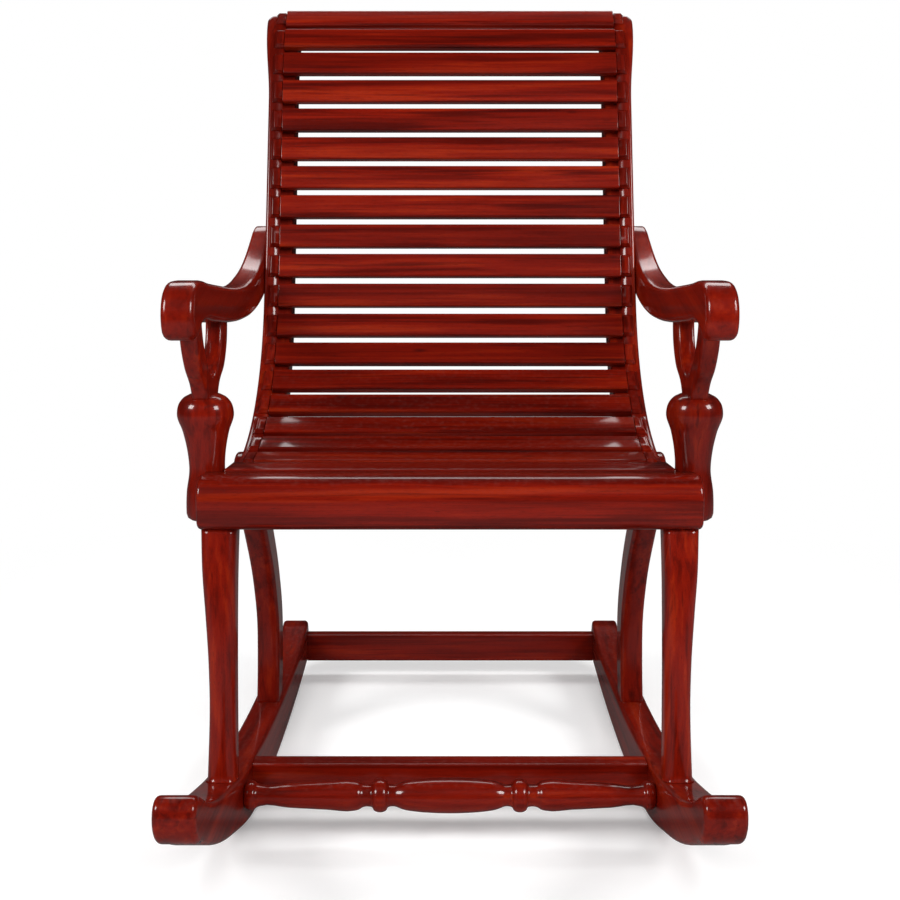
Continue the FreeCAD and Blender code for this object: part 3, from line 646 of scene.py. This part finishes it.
@dataclass
class Bench:
    """Where pieces are finished: it turns a shell into a dressed piece that stands for a node."""

    wood: dict[str, bpy.types.Material]
    made: int = 0
    strides: tuple[float, float, float] = (0.618, 0.414, 0.732)
    log_size: tuple[float, float, float] = (9.0, 5.0, 5.0)

    def deliver(self, shell: Shell, node: str, finish: str, grain: Grain) -> bpy.types.Object:
        """Makes one piece from a shell.

        Args:
            shell: The shape.
            node: The CAD node that it stands for.
            finish: Name of its finish.
            grain: Which way its wood runs.

        Returns:
            The piece.
        """
        self.made += 1
        offset = Vector([(self.made * stride) % 1.0 * reach for stride, reach in zip(self.strides, self.log_size)])
        mesh = shell.to_mesh(node + "_shape", grain, offset)
        mesh.materials.append(self.wood[finish])
        piece = bpy.data.objects.new(node + "_wood", mesh)
        bpy.context.scene.collection.objects.link(piece)
        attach(piece, "root")
        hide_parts(node)
        log.info("%s: %d faces", piece.name, len(mesh.polygons))
        return piece

    def deliver_pair(self, shell: Shell, node: str, finish: str, grain: Grain) -> None:
        """Makes the right-hand piece from a shell and the left-hand one from its mirror image.

        Args:
            shell: The right-hand shape.
            node: The nodes' name, without its side.
            finish: Name of the finish.
            grain: Which way the wood runs.
        """
        self.deliver(shell, node + "_right", finish, grain)
        self.deliver(shell.mirrored(), node + "_left", finish, grain)


@dataclass(frozen=True)
class SittingCurve:
    """Side view of the sitting face: flat seat, hollow, leaning back and rolled top."""

    front: float = -0.146
    height: float = 0.452
    flat: float = 0.030
    hollow: float = 0.287
    straight: float = 0.3417
    roll: float = 0.250
    lean: float = math.radians(74.26)

    @property
    def hollow_end(self) -> float:
        """Length along the face to the end of the hollow."""
        return self.flat + self.hollow * self.lean

    @property
    def straight_end(self) -> float:
        """Length along the face to the start of the roll."""
        return self.hollow_end + self.straight

    def heading(self, along: float) -> float:
        """Gives the slope angle of the face.

        Args:
            along: Length along the face from the front of the seat.

        Returns:
            The angle in radians.
        """
        if along <= self.flat:
            return 0.0
        if along <= self.hollow_end:
            return (along - self.flat) / self.hollow
        if along <= self.straight_end:
            return self.lean
        return self.lean - (along - self.straight_end) / self.roll

    def point(self, along: float, behind: float = 0.0) -> Point:
        """Gives a point of the side view.

        Args:
            along: Length along the face from the front of the seat.
            behind: Depth behind the face.

        Returns:
            Its y and z.
        """
        angle = self.heading(along)
        y, z = self.front + min(along, self.flat), self.height
        if along > self.flat:
            turned = min(along - self.flat, self.hollow * self.lean) / self.hollow
            y += self.hollow * math.sin(turned)
            z += self.hollow * (1 - math.cos(turned))
        if along > self.hollow_end:
            run = min(along, self.straight_end) - self.hollow_end
            y += run * math.cos(self.lean)
            z += run * math.sin(self.lean)
        if along > self.straight_end:
            y += self.roll * (math.sin(self.lean) - math.sin(angle))
            z += self.roll * (math.cos(angle) - math.cos(self.lean))
        return y + behind * math.sin(angle), z - behind * math.cos(angle)


@dataclass
class Slats:
    """The cross slats of the seat and back."""

    curve: SittingCurve
    count: int = 18
    length: float = 0.500
    width: float = 0.0345
    thick: float = 0.012
    pitch: float = 0.04487
    first: float = 0.060
    edge: float = 0.0030
    top_edge: float = 0.0060
    back_edge: float = 0.0015
    end_edge: float = 0.0012

    def along(self, number: int) -> float:
        """Length along the face of a slat's middle, with slat 1 at the top."""
        return self.curve.flat + self.first + (self.count - number) * self.pitch

    def shell(self, number: int) -> Shell:
        """Builds one slat.

        Args:
            number: Its number, from the top.

        Returns:
            Its shape.
        """
        along = self.along(number)
        angle = self.curve.heading(along)
        y, z = self.curve.point(along)
        half = 0.5 * self.width
        front = self.top_edge if number == 1 else self.edge
        section = rounded_corners([
            (-half, -self.thick, self.back_edge), (half, -self.thick, self.back_edge), (half, 0.0, front),
            (0.0, 0.0, 0.0), (-half, 0.0, front)])

        def place(x: float, p: Point) -> Vector:
            """Puts a point of the section into space."""
            return Vector((x, y + p[0] * math.cos(angle) - p[1] * math.sin(angle),
                           z + p[0] * math.sin(angle) + p[1] * math.cos(angle)))

        return slab(section, -0.5 * self.length, 0.5 * self.length, self.end_edge, place, middles=9)

    def build(self, bench: Bench) -> None:
        """Builds and dresses every slat."""
        for number in range(1, self.count + 1):
            bench.deliver(self.shell(number), "slat_%02d" % number, "slat_wood", Grain.ALONG_X)


@dataclass
class SideFrames:
    """Back stiles and seat rails, with the row of bevelled blocks that seats the slats."""

    slats: Slats
    inner: float = 0.2335
    step: float = 0.2506
    outer: float = 0.272
    cheek_drop: float = 0.006
    bearing_drop: float = 0.012
    back: float = 0.058
    round_edge: float = 0.0045
    ear_length: float = 0.018
    ear_bulge: float = 0.013
    ear_swell: float = 0.008
    ear_below: float = 0.150
    ear_round: float = 0.014
    block_width: float = 0.0155
    block_flat: float = 0.011
    block_length: float = 0.034
    block_taper: float = 0.009
    block_plan: tuple[Point, ...] = ((0.0, -0.5), (1.0, -0.5), (1.0, 0.5), (0.0, 0.5))
    splice_edge: float = 0.0006
    crown_edge: float = 0.0035
    crown_rows: float = 0.020
    row_step: float = 0.008

    @property
    def splice(self) -> float:
        """Length along the face where the rail ends and the stile starts."""
        return 0.5 * (self.slats.along(15) + self.slats.along(16))

    @property
    def top(self) -> float:
        """Length along the face where the ear's crown starts."""
        return self.slats.along(1) + self.ear_length

    def outer_at(self, along: float) -> float:
        """Gives the place of the outer side, which swells towards the ear and rounds off at its top.

        Args:
            along: Length along the face.

        Returns:
            Its distance from the chair's middle.
        """
        curve = self.slats.curve
        height = curve.point(along)[1] - 0.008
        top = curve.point(self.top)[1]
        low, turn = top - self.ear_below, top - 1.5 * self.ear_round
        x = self.outer + self.ear_swell * ease((height - low) / (turn - low))
        over = min(max(height - turn, 0.0) / self.ear_round, 0.98)
        return x - self.ear_round * (1 - math.sqrt(1 - over * over))

    def section(self, outer: float) -> list[Point]:
        """Section of the frame: places across the chair and behind the face.

        Args:
            outer: Place of the outer side.

        Returns:
            Its outline.
        """
        r = self.round_edge
        return rounded_corners([
            (self.inner, self.bearing_drop, 0.0), (self.step, self.bearing_drop, 0.0),
            (self.step, self.cheek_drop, 0.0), (outer, self.cheek_drop, r), (outer, self.back, r),
            (self.inner, self.back, 0.0)], steps=5)

    def strip(self, start: float, end: float, ear: bool) -> Shell:
        """Builds the stretch of frame between two lengths along the face.

        Args:
            start: Where it starts.
            end: Where it ends.
            ear: Whether its end is the rounded ear.

        Returns:
            Its shape.
        """
        curve = self.slats.curve
        edge = self.splice_edge
        stops = [(start + far, inner) for far, inner in edge_steps(edge, 2)]
        count = max(2, round((end - start) / self.row_step))
        stops += [(start + edge + (end - start - 2 * edge) * k / count, 0.0) for k in range(1, count)]
        last = self.crown_edge if ear else edge
        if ear:
            stops = [stop for stop in stops if stop[0] < end - self.crown_rows]
            stops += [(end - self.crown_rows + 0.001 * k, 0.0) for k in range(17)]
        stops += [(end - far, inner) for far, inner in edge_steps(last, 5 if ear else 2)[::-1]]
        rings = []
        for along, inner in stops:
            loop = self.section(self.outer_at(along) if ear else self.outer)
            loop = inset(loop, inner) if inner > 0.0 else loop
            heading = curve.heading(along)
            crown = ease((along - end + 0.05) / 0.05) * self.ear_bulge if ear else 0.0
            ring = []
            for x, behind in loop:
                y, z = curve.point(along, behind)
                middle = 0.5 * (self.bearing_drop + self.back)
                lift = crown * (1 - ((behind - middle) / (self.back - middle)) ** 2)
                ring.append(Vector((x, y + lift * math.cos(heading), z + lift * math.sin(heading))))
            rings.append(ring)
        return Shell().add_rings(rings)

    def add_block(self, shell: Shell, number: int) -> None:
        """Adds the bevelled block beside a slat's end.

        Args:
            shell: The shell that it joins.
            number: The slat's number.
        """
        curve = self.slats.curve
        middle = self.slats.along(number)
        foot = self.cheek_drop + 0.0005
        block_length = self.block_length if number > 1 else 0.7 * self.block_length

        def ring(width: float, length: float, behind: float, edge: float) -> list[Vector]:
            """Draws one ring round the block."""
            corners = [(self.step + x * width, middle + s * length, edge) for x, s in self.block_plan]
            return [Vector((x, *curve.point(s, behind))) for x, s in rounded_corners(corners, 3)]

        wide, long = self.block_width - self.block_flat, self.block_taper
        crown = block_length - long
        rings = [ring(self.block_width - wide * t, block_length - long * t, foot * (1 - t), 0.0008)
                 for t in (0.0, 0.3, 0.6, 0.88)]
        rings += [ring(self.block_flat + 0.15 * wide - 0.0012 * t, crown + 0.15 * long - 0.0012 * t,
                       0.0006 * (1 - t), 0.0006) for t in (0.5, 0.8, 1.0)]
        rings.append(ring(self.block_flat - 0.002, crown - 0.002, 0.0, 0.0006))
        shell.add_rings(rings)

    def build(self, bench: Bench) -> None:
        """Builds and dresses the rails and stiles.

        Args:
            bench: Where pieces are finished.
        """
        stile = self.strip(self.splice, self.top, ear=True)
        for number in range(1, 16):
            self.add_block(stile, number)
        bench.deliver_pair(stile, "back_stile", "frame_wood", Grain.LEANING)
        rail = self.strip(0.0, self.splice, ear=False)
        for number in range(16, 19):
            self.add_block(rail, number)
        bench.deliver_pair(rail, "seat_rail", "frame_wood", Grain.ALONG_Y)


@dataclass
class SeatFront:
    """The front board of the seat and the bullnosed rail below it."""

    half_board: float = 0.272
    board_front: float = -0.146
    board_back: float = -0.085
    board_top: float = 0.455
    board_bottom: float = 0.437
    half_rail: float = 0.2962
    rail_front: float = -0.196
    rail_back: float = -0.146
    rail_top: float = 0.452
    rail_bottom: float = 0.3892
    crown: float = 0.028
    under: float = 0.012
    board_edge: float = 0.004
    board_end: float = 0.002
    rail_end: float = 0.005

    def board(self) -> Shell:
        """Builds the board.

        Returns:
            Its shape.
        """
        section = rounded_corners([
            (self.board_front, self.board_bottom, 0.0), (self.board_back, self.board_bottom, 0.0),
            (self.board_back, self.board_top, self.board_edge), (self.board_front, self.board_top, self.board_edge)])
        return slab(section, -self.half_board, self.half_board, self.board_end, at_width, middles=9)

    def rail(self) -> Shell:
        """Builds the rail.

        Returns:
            Its shape.
        """
        section = rounded_corners([
            (self.rail_back, self.rail_bottom, 0.0), (self.rail_back, self.rail_top, 0.0),
            (self.rail_front, self.rail_top, self.crown), (self.rail_front, self.rail_bottom, self.under)], steps=14)
        return slab(section, -self.half_rail, self.half_rail, self.rail_end, at_width, middles=9)

    def build(self, bench: Bench) -> None:
        """Builds and dresses both."""
        bench.deliver(self.board(), "seat_front_board", "frame_wood", Grain.ALONG_X)
        bench.deliver(self.rail(), "front_rail", "rail_wood", Grain.ALONG_X)


@dataclass
class Rockers:
    """The two long curved rockers."""

    half: float = 0.433
    inner: float = 0.250
    thick: float = 0.044
    low: float = 0.0373
    turn: float = -0.100
    radius: float = 2.600
    front_radius: float = 0.620
    toe_lift: float = 0.011
    edge: float = 0.0060
    depths: tuple[Point, ...] = ((-0.86, 0.0605), (-0.54, 0.0715), (-0.15, 0.069), (0.42, 0.059), (0.77, 0.055),
                                 (0.98, 0.065))
    toe_share: float = -0.935
    heel_share: float = 0.975

    @property
    def toe(self) -> float:
        """Place where the toe's underside ends."""
        return self.toe_share * self.half

    def bottom(self, y: float) -> float:
        """Gives the height of the rocker's base curve.

        Args:
            y: Place along the rocker.

        Returns:
            The height above the floor.
        """
        if y >= self.turn:
            return self.radius - math.sqrt(self.radius ** 2 - (y - self.low) ** 2)
        slope = math.asin((self.low - self.turn) / self.radius)
        centre_y = self.turn + self.front_radius * math.sin(slope)
        centre_z = self.radius * (1 - math.cos(slope)) + self.front_radius * math.cos(slope)
        return centre_z - math.sqrt(self.front_radius ** 2 - (y - centre_y) ** 2)

    def running(self, y: float) -> float:
        """Height of the running edge, which thins towards the toe."""
        return self.bottom(y) + self.toe_lift * ease((self.turn - y) / 0.16)

    def upper(self) -> list[Point]:
        """Draws the nose and the top edge.

        Returns:
            Points from the toe's underside to the rear tip.
        """
        nose = self.bottom(self.toe) + 0.045
        points = [(self.toe, self.running(self.toe)), (-self.half + 0.005, nose - 0.018), (-self.half, nose),
                  (-self.half + 0.006, nose + 0.016), (-self.half + 0.017, nose + 0.021),
                  (-self.half + 0.032, nose + 0.014)]
        points += [(self.half * share, self.bottom(self.half * share) + depth) for share, depth in self.depths]
        return curve_through(points, steps=9)

    def top(self, y: float) -> float:
        """Gives the height of the top edge.

        Args:
            y: Place along the rocker.

        Returns:
            The height above the floor.
        """
        edge = [p for p in self.upper() if p[1] > self.bottom(max(-self.half, p[0])) + 0.05]
        for a, b in zip(edge, edge[1:]):
            if a[0] <= y <= b[0]:
                return a[1] + (b[1] - a[1]) * (y - a[0]) / (b[0] - a[0])
        return edge[-1][1]

    def shell(self) -> Shell:
        """Builds the right-hand rocker.

        Returns:
            Its shape.
        """
        upper = self.upper()
        heel = self.heel_share * self.half
        end = upper[-1]
        tip = arc_through(end, (self.half, 0.5 * (end[1] + self.bottom(heel))), (heel, self.bottom(heel)), 12)
        count = 60
        places = [heel + (self.toe - heel) * k / count for k in range(1, count)]
        outline = upper + tip[1:] + [(y, self.running(y)) for y in places]
        return slab(outline, self.inner, self.inner + self.thick, self.edge, at_width)

    def build(self, bench: Bench) -> None:
        """Builds and dresses the pair."""
        bench.deliver_pair(self.shell(), "rocker", "frame_wood", Grain.ALONG_Y)


@dataclass
class FrontLegs:
    """The curved front legs, from the rail down to the rockers."""

    rockers: Rockers
    inner: float = 0.252
    corner: float = 0.012
    stations: tuple[tuple[float, float, float, float], ...] = (
        (0.060, -0.2350, 0.0355, 0.036), (0.1686, -0.2220, 0.0315, 0.035), (0.2313, -0.2160, 0.0320, 0.036),
        (0.2901, -0.2090, 0.0355, 0.038), (0.3410, -0.2010, 0.0395, 0.040), (0.3925, -0.1860, 0.0425, 0.040))
    low: float = 0.064
    high: float = 0.3922
    rows: int = 40

    def shell(self) -> Shell:
        """Builds the right-hand leg.

        Returns:
            Its shape.
        """
        rings = []
        for k in range(self.rows + 1):
            height = self.low + (self.high - self.low) * k / self.rows
            front, width, depth = value_between(self.stations, height)
            outer, back = self.inner + width, front + depth
            loop = rounded_corners([(x, y, self.corner) for x, y in (
                (self.inner, front), (outer, front), (outer, back), (self.inner, back))])
            floor = [self.rockers.top(y) + 0.0002 for _, y in loop]
            rings.append([Vector((x, y, max(height, least))) for (x, y), least in zip(loop, floor)])
        return Shell().add_rings(rings)

    def build(self, bench: Bench) -> None:
        """Builds and dresses the pair."""
        bench.deliver_pair(self.shell(), "front_leg", "frame_wood", Grain.ALONG_Z)


@dataclass
class BackLegs:
    """The bowed back legs, which lap over the outside of the seat rails."""

    inner: float = 0.255
    thick: float = 0.033
    edge: float = 0.005
    front: tuple[Point, ...] = ((0.112, 0.055), (0.128, 0.120), (0.131, 0.185), (0.112, 0.240), (0.020, 0.375),
                                (-0.013, 0.436))
    crown: Point = (0.011, 0.453)
    rear: tuple[Point, ...] = ((0.036, 0.444), (0.062, 0.395), (0.153, 0.255), (0.174, 0.195), (0.171, 0.125),
                               (0.150, 0.055))

    def shell(self) -> Shell:
        """Builds the right-hand leg.

        Returns:
            Its shape.
        """
        outline = curve_through(self.front, steps=10)
        outline += arc_through(self.front[-1], self.crown, self.rear[0], 10)[1:-1]
        outline += curve_through(self.rear, steps=10)
        return slab(outline, self.inner, self.inner + self.thick, self.edge, at_width)

    def build(self, bench: Bench) -> None:
        """Builds and dresses the pair."""
        bench.deliver_pair(self.shell(), "back_leg", "frame_wood", Grain.ALONG_Z)


@dataclass
class ArmPosts:
    """Posts of the arms: a turned foot and vase below an open loop."""

    x: float = 0.2975
    y: float = -0.120
    bottom: float = 0.389
    shoulder: float = 0.5405
    foot: float = 0.0265
    waist: float = 0.0215
    belly: float = 0.034
    flat: float = 0.272
    loop_half: float = 0.0105
    loop_edge: float = 0.0040
    arm_under: float = 0.640
    rail_top: float = 0.452

    def vase(self) -> Shell:
        """Builds the turned part, flat where it lies on the rail.

        Returns:
            Its shape.
        """
        low, top = self.bottom, self.shoulder
        profile = [(low, self.foot - 0.007), (low + 0.0004, self.foot - 0.005), (low + 0.003, self.foot - 0.0015)]
        profile += [(z, r) for z, r in curve_through([
            (low + 0.008, self.foot), (low + 0.034, self.foot - 0.001), (low + 0.062, self.waist),
            (low + 0.084, self.waist + 0.0014), (low + 0.109, 0.5 * (self.waist + self.belly)),
            (top - 0.021, self.belly), (top - 0.007, self.belly - 0.0035), (top, self.belly - 0.010)], steps=7)]
        profile += [(top + 0.003, self.belly - 0.016), (top + 0.0035, self.belly - 0.022)]

        def place(z: float, across: float, deep: float) -> Vector:
            """Puts a turned point into space, flattened against the rail."""
            flat = self.flat + 0.0002 if z < self.rail_top else 0.0
            return Vector((max(self.x + across, flat), self.y + deep, z))

        return lathe(profile, place)

    def loop(self) -> list[Point]:
        """Draws the side view of the loop's two limbs.

        Returns:
            Its outline.
        """
        neck, top = self.shoulder - 0.008, self.arm_under
        front = curve_through([(-0.024, neck), (-0.033, neck + 0.020), (-0.058, neck + 0.044),
                               (-0.074, neck + 0.072), (-0.078, top)], steps=6)
        inside = curve_through([(-0.049, top), (-0.044, neck + 0.080), (-0.022, neck + 0.048), (0.006, neck + 0.030),
                                (0.036, neck + 0.048), (0.056, neck + 0.080), (0.060, top)], steps=6)
        rear = curve_through([(0.097, top), (0.092, neck + 0.072), (0.072, neck + 0.042), (0.036, neck + 0.018),
                              (0.024, neck)], steps=6)
        return [(self.y + y, z) for y, z in front + inside + rear]

    def shell(self) -> Shell:
        """Builds the right-hand post.

        Returns:
            Its shape.
        """
        limbs = slab(self.loop(), self.x - self.loop_half, self.x + self.loop_half, self.loop_edge,
                     at_width)
        vase = self.vase()
        start = len(vase.points)
        vase.points += limbs.points
        vase.faces += [tuple(i + start for i in face) for face in limbs.faces]
        return vase

    def build(self, bench: Bench) -> None:
        """Builds and dresses the pair."""
        bench.deliver_pair(self.shell(), "arm_post", "frame_wood", Grain.ALONG_Z)


@dataclass
class Arms:
    """The S-shaped arms with their dropped noses."""

    inner: float = 0.272
    thick: float = 0.037
    hinge: float = 0.185
    slope: float = 0.01497
    taper_from: float = 0.130
    taper: float = 0.07
    edge: float = 0.0075
    outline: tuple[Point, ...] = (
        (-0.205, 0.678), (-0.150, 0.6755), (-0.090, 0.6735), (-0.030, 0.672), (0.030, 0.673), (0.080, 0.678),
        (0.132, 0.690), (0.168, 0.705), (0.199, 0.725), (0.226, 0.7465), (0.246, 0.762), (0.261, 0.767),
        (0.273, 0.759), (0.2755, 0.742), (0.267, 0.724), (0.250, 0.707), (0.222, 0.685), (0.191, 0.6665),
        (0.145, 0.649), (0.094, 0.637), (0.024, 0.6295), (-0.062, 0.628), (-0.130, 0.6305), (-0.180, 0.6325),
        (-0.203, 0.628), (-0.218, 0.618), (-0.232, 0.612), (-0.2445, 0.6165), (-0.250, 0.629), (-0.249, 0.648),
        (-0.241, 0.664), (-0.225, 0.675))

    def place(self, share: float, p: Point) -> Vector:
        """Puts a point of the side view into space.

        Args:
            share: Place within the arm's thickness.
            p: The point.

        Returns:
            The point in space.
        """
        y, z = p
        inner = self.inner + max(0.0, self.hinge - y) * self.slope
        line = self.inner + (self.hinge - y) * self.slope + self.thick
        outer = line - self.taper * max(0.0, y - self.taper_from)
        return Vector((inner + (outer - inner) * share / self.thick, y, z))

    def build(self, bench: Bench) -> None:
        """Builds and dresses the pair.

        Args:
            bench: Where pieces are finished.
        """
        outline = curve_through(self.outline, closed=True, steps=5)
        shell = slab(outline, 0.0, self.thick, self.edge, self.place)
        bench.deliver_pair(shell, "arm", "arm_wood", Grain.SLOPING)


@dataclass
class Stretchers:
    """The turned stretcher and the two plain ones between the rockers."""

    half: float = 0.250
    turned_y: float = -0.182
    turned_z: float = 0.058
    bulb: float = 0.021
    drops: tuple[Point, ...] = (
        (0.0, 0.0), (0.020, 0.0004), (0.040, 0.0018), (0.058, 0.0048), (0.0625, 0.0065), (0.0655, 0.0076),
        (0.072, 0.0080), (0.0755, 0.0068), (0.0775, 0.0035), (0.081, 0.0016), (0.085, 0.0011), (0.089, 0.0016),
        (0.0925, 0.0035), (0.0945, 0.0068), (0.098, 0.0078), (0.106, 0.0070), (0.111, 0.0042), (0.116, 0.0030),
        (0.150, 0.0042), (0.195, 0.0064), (0.232, 0.0080), (0.2355, 0.0066), (0.2385, 0.0042), (0.2425, 0.0036),
        (0.2465, 0.0050), (0.2495, 0.0075))
    middle: tuple[Point, Point] = ((-0.132, 0.037), (-0.104, 0.075))
    rear: tuple[Point, Point] = ((0.400, 0.028), (0.425, 0.075))
    bar_edge: float = 0.003

    def turned(self) -> Shell:
        """Builds the turned stretcher.

        Returns:
            Its shape.
        """
        right = [(x, self.bulb - drop) for x, drop in curve_through(self.drops, steps=4)]
        profile = [(-x, r) for x, r in right[:0:-1]] + right
        return lathe(profile, lambda x, a, b: Vector((x, self.turned_y + a, self.turned_z + b)))

    def bar(self, low: Point, high: Point) -> Shell:
        """Builds a plain bar.

        Args:
            low: Its lowest y and z.
            high: Its highest y and z.

        Returns:
            Its shape.
        """
        r = self.bar_edge
        section = rounded_corners([(*low, r), (high[0], low[1], r), (*high, r), (low[0], high[1], r)])
        return slab(section, -self.half, self.half, 0.0004, at_width, middles=9)

    def build(self, bench: Bench) -> None:
        """Builds and dresses all three.

        Args:
            bench: Where pieces are finished.
        """
        bench.deliver(self.turned(), "turned_stretcher", "frame_wood", Grain.ALONG_X)
        bench.deliver(self.bar(*self.middle), "mid_stretcher", "frame_wood", Grain.ALONG_X)
        bench.deliver(self.bar(*self.rear), "rear_stretcher", "frame_wood", Grain.ALONG_X)


# Room


@dataclass(frozen=True)
class PaleFloor:
    """White floor that keeps the chair's soft shadow."""

    name: str = "pale_floor"
    lift: float = 0.24
    fade_from: float = 0.75
    fade_to: float = 1.9
    grey: Colour = (0.80, 0.80, 0.80, 1.0)
    pale: Colour = (0.84, 0.84, 0.84, 1.0)
    mirrored: Colour = (0.16, 0.15, 0.15, 1.0)

    def build(self) -> bpy.types.Material:
        """Makes the material.

        Returns:
            The material.
        """
        material = bpy.data.materials.new(self.name)
        material.use_nodes = True
        tree = material.node_tree
        graph = Graph(tree)
        tree.nodes.remove(tree.nodes["Principled BSDF"])
        place = graph.add("ShaderNodeTexCoord").outputs["Object"]
        specks = graph.noise(place, (30.0, 30.0, 30.0), detail=4.0)
        colour = graph.mix(specks, self.grey, self.pale)
        far = graph.add("ShaderNodeVectorMath", {0: place}, operation="LENGTH").outputs["Value"]
        matt = graph.add("ShaderNodeBsdfDiffuse", {"Color": colour}).outputs[0]
        dim = graph.add("ShaderNodeBsdfDiffuse", {"Color": self.mirrored}).outputs[0]
        glow = graph.add("ShaderNodeEmission", {"Strength": self.lift}).outputs[0]
        white = graph.add("ShaderNodeEmission", {"Strength": 1.0}).outputs[0]
        lit = graph.add("ShaderNodeAddShader", {0: matt, 1: glow}).outputs[0]
        fade = graph.between(far, self.fade_from, self.fade_to)
        shown = graph.add("ShaderNodeMixShader", {0: fade, 1: lit, 2: white}).outputs[0]
        path = graph.add("ShaderNodeLightPath")
        lighting = graph.add("ShaderNodeMixShader", {0: path.outputs["Is Glossy Ray"], 1: matt, 2: dim}).outputs[0]
        whole = graph.add("ShaderNodeMixShader", {0: path.outputs["Is Camera Ray"], 1: lighting, 2: shown}).outputs[0]
        tree.links.new(whole, tree.nodes["Material Output"].inputs[0])
        return material


@dataclass
class Studio:
    """Floor, soft lamps, white surroundings and the camera at the photograph's angle."""

    lens: float = 43.6
    camera_place: tuple[float, float, float] = (0.0, -1.440, 0.660)
    camera_pitch: float = 8.0
    floor_reach: float = 12.0
    room_light: float = 0.30
    room_gleam: float = 0.010
    aim: tuple[float, float, float] = (0.0, 0.0, 0.5)
    floor_height: float = -0.0004

    def floor(self) -> None:
        """Lays the floor."""
        mesh = bpy.data.meshes.new("floor_shape")
        r, z = self.floor_reach, self.floor_height
        mesh.from_pydata([(-r, -r, z), (r, -r, z), (r, r, z), (-r, r, z)], [], [(0, 1, 2, 3)])
        mesh.materials.append(PaleFloor().build())
        floor = bpy.data.objects.new("floor", mesh)
        bpy.context.scene.collection.objects.link(floor)

    def lamp(self, name: str, place: Sequence[float], size: Point, power: float, gleam: bool = True) -> None:
        """Hangs a soft rectangular lamp that faces the chair.

        Args:
            name: Its name.
            place: Where it hangs.
            size: Its width and height.
            power: Its power in watts.
            gleam: Whether glossy surfaces mirror it.
        """
        light = bpy.data.lights.new(name, "AREA")
        light.shape = "RECTANGLE"
        light.size, light.size_y = size
        light.energy = power
        lamp = bpy.data.objects.new(name, light)
        lamp.location = place
        lamp.visible_glossy = gleam
        lamp.rotation_euler = (Vector(place) - Vector(self.aim)).to_track_quat("Z", "Y").to_euler()
        bpy.context.scene.collection.objects.link(lamp)

    def surroundings(self) -> None:
        """Sets a world that is white to the camera and dim to everything else."""
        world = bpy.data.worlds.new("white_room")
        world.use_nodes = True
        graph = Graph(world.node_tree)
        back = world.node_tree.nodes["Background"]
        path = graph.add("ShaderNodeLightPath")
        dim = graph.between(path.outputs["Is Glossy Ray"], 0.0, 1.0, self.room_light, self.room_gleam)
        seen = graph.math("MAXIMUM", path.outputs["Is Camera Ray"], dim)
        world.node_tree.links.new(seen, back.inputs["Strength"])
        back.inputs["Color"].default_value = (1.0, 1.0, 1.0, 1.0)
        bpy.context.scene.world = world

    def camera(self) -> None:
        """Stands the camera where the photograph was taken."""
        data = bpy.data.cameras.new("photo_camera")
        data.lens = self.lens
        data.sensor_width = 36.0
        camera = bpy.data.objects.new("photo_camera", data)
        camera.location = self.camera_place
        camera.rotation_euler = (math.radians(90.0 - self.camera_pitch), 0.0, 0.0)
        bpy.context.scene.collection.objects.link(camera)
        bpy.context.scene.camera = camera

    def build(self) -> None:
        """Sets everything up."""
        self.floor()
        self.lamp("left_lamp", (-2.6, -1.7, 2.2), (1.1, 1.1), 62.0)
        self.lamp("right_lamp", (2.6, -1.7, 2.2), (1.1, 1.1), 62.0)
        self.lamp("rear_lamp", (0.0, 1.9, 3.2), (3.0, 1.0), 44.0)
        self.lamp("front_fill", (0.0, -2.8, 2.6), (2.4, 1.6), 50.0, gleam=False)
        self.surroundings()
        self.camera()
        bpy.context.scene.view_settings.view_transform = "Standard"


def main() -> None:
    """Builds the chair and the room in order."""
    logging.basicConfig(level=logging.INFO, format="%(name)s: %(message)s")
    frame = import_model()
    figure, skin = wood_figure_group(), lacquer_skin_group()
    woods = [LacqueredWood("slat_wood"), LacqueredWood("frame_wood", knots=0.5, contrast=0.75),
             LacqueredWood("rail_wood", knots=0.6, contrast=0.9), LacqueredWood("arm_wood", knots=0.4, contrast=0.5)]
    bench = Bench({wood.name: wood.build(figure, skin) for wood in woods})
    slats = Slats(SittingCurve())
    rockers = Rockers()
    for group in (slats, SideFrames(slats), SeatFront(), rockers, FrontLegs(rockers), BackLegs(), ArmPosts(), Arms(),
                  Stretchers()):
        group.build(bench)
    peg_wood = PegWood().build()
    for name, node in frame["nodes"].items():
        if not node.hide_render:
            node.data.materials.clear()
            node.data.materials.append(peg_wood)
            log.info("%s: kept from the frame", name)
    Studio().build()


if __name__ == "__main__":
    main()
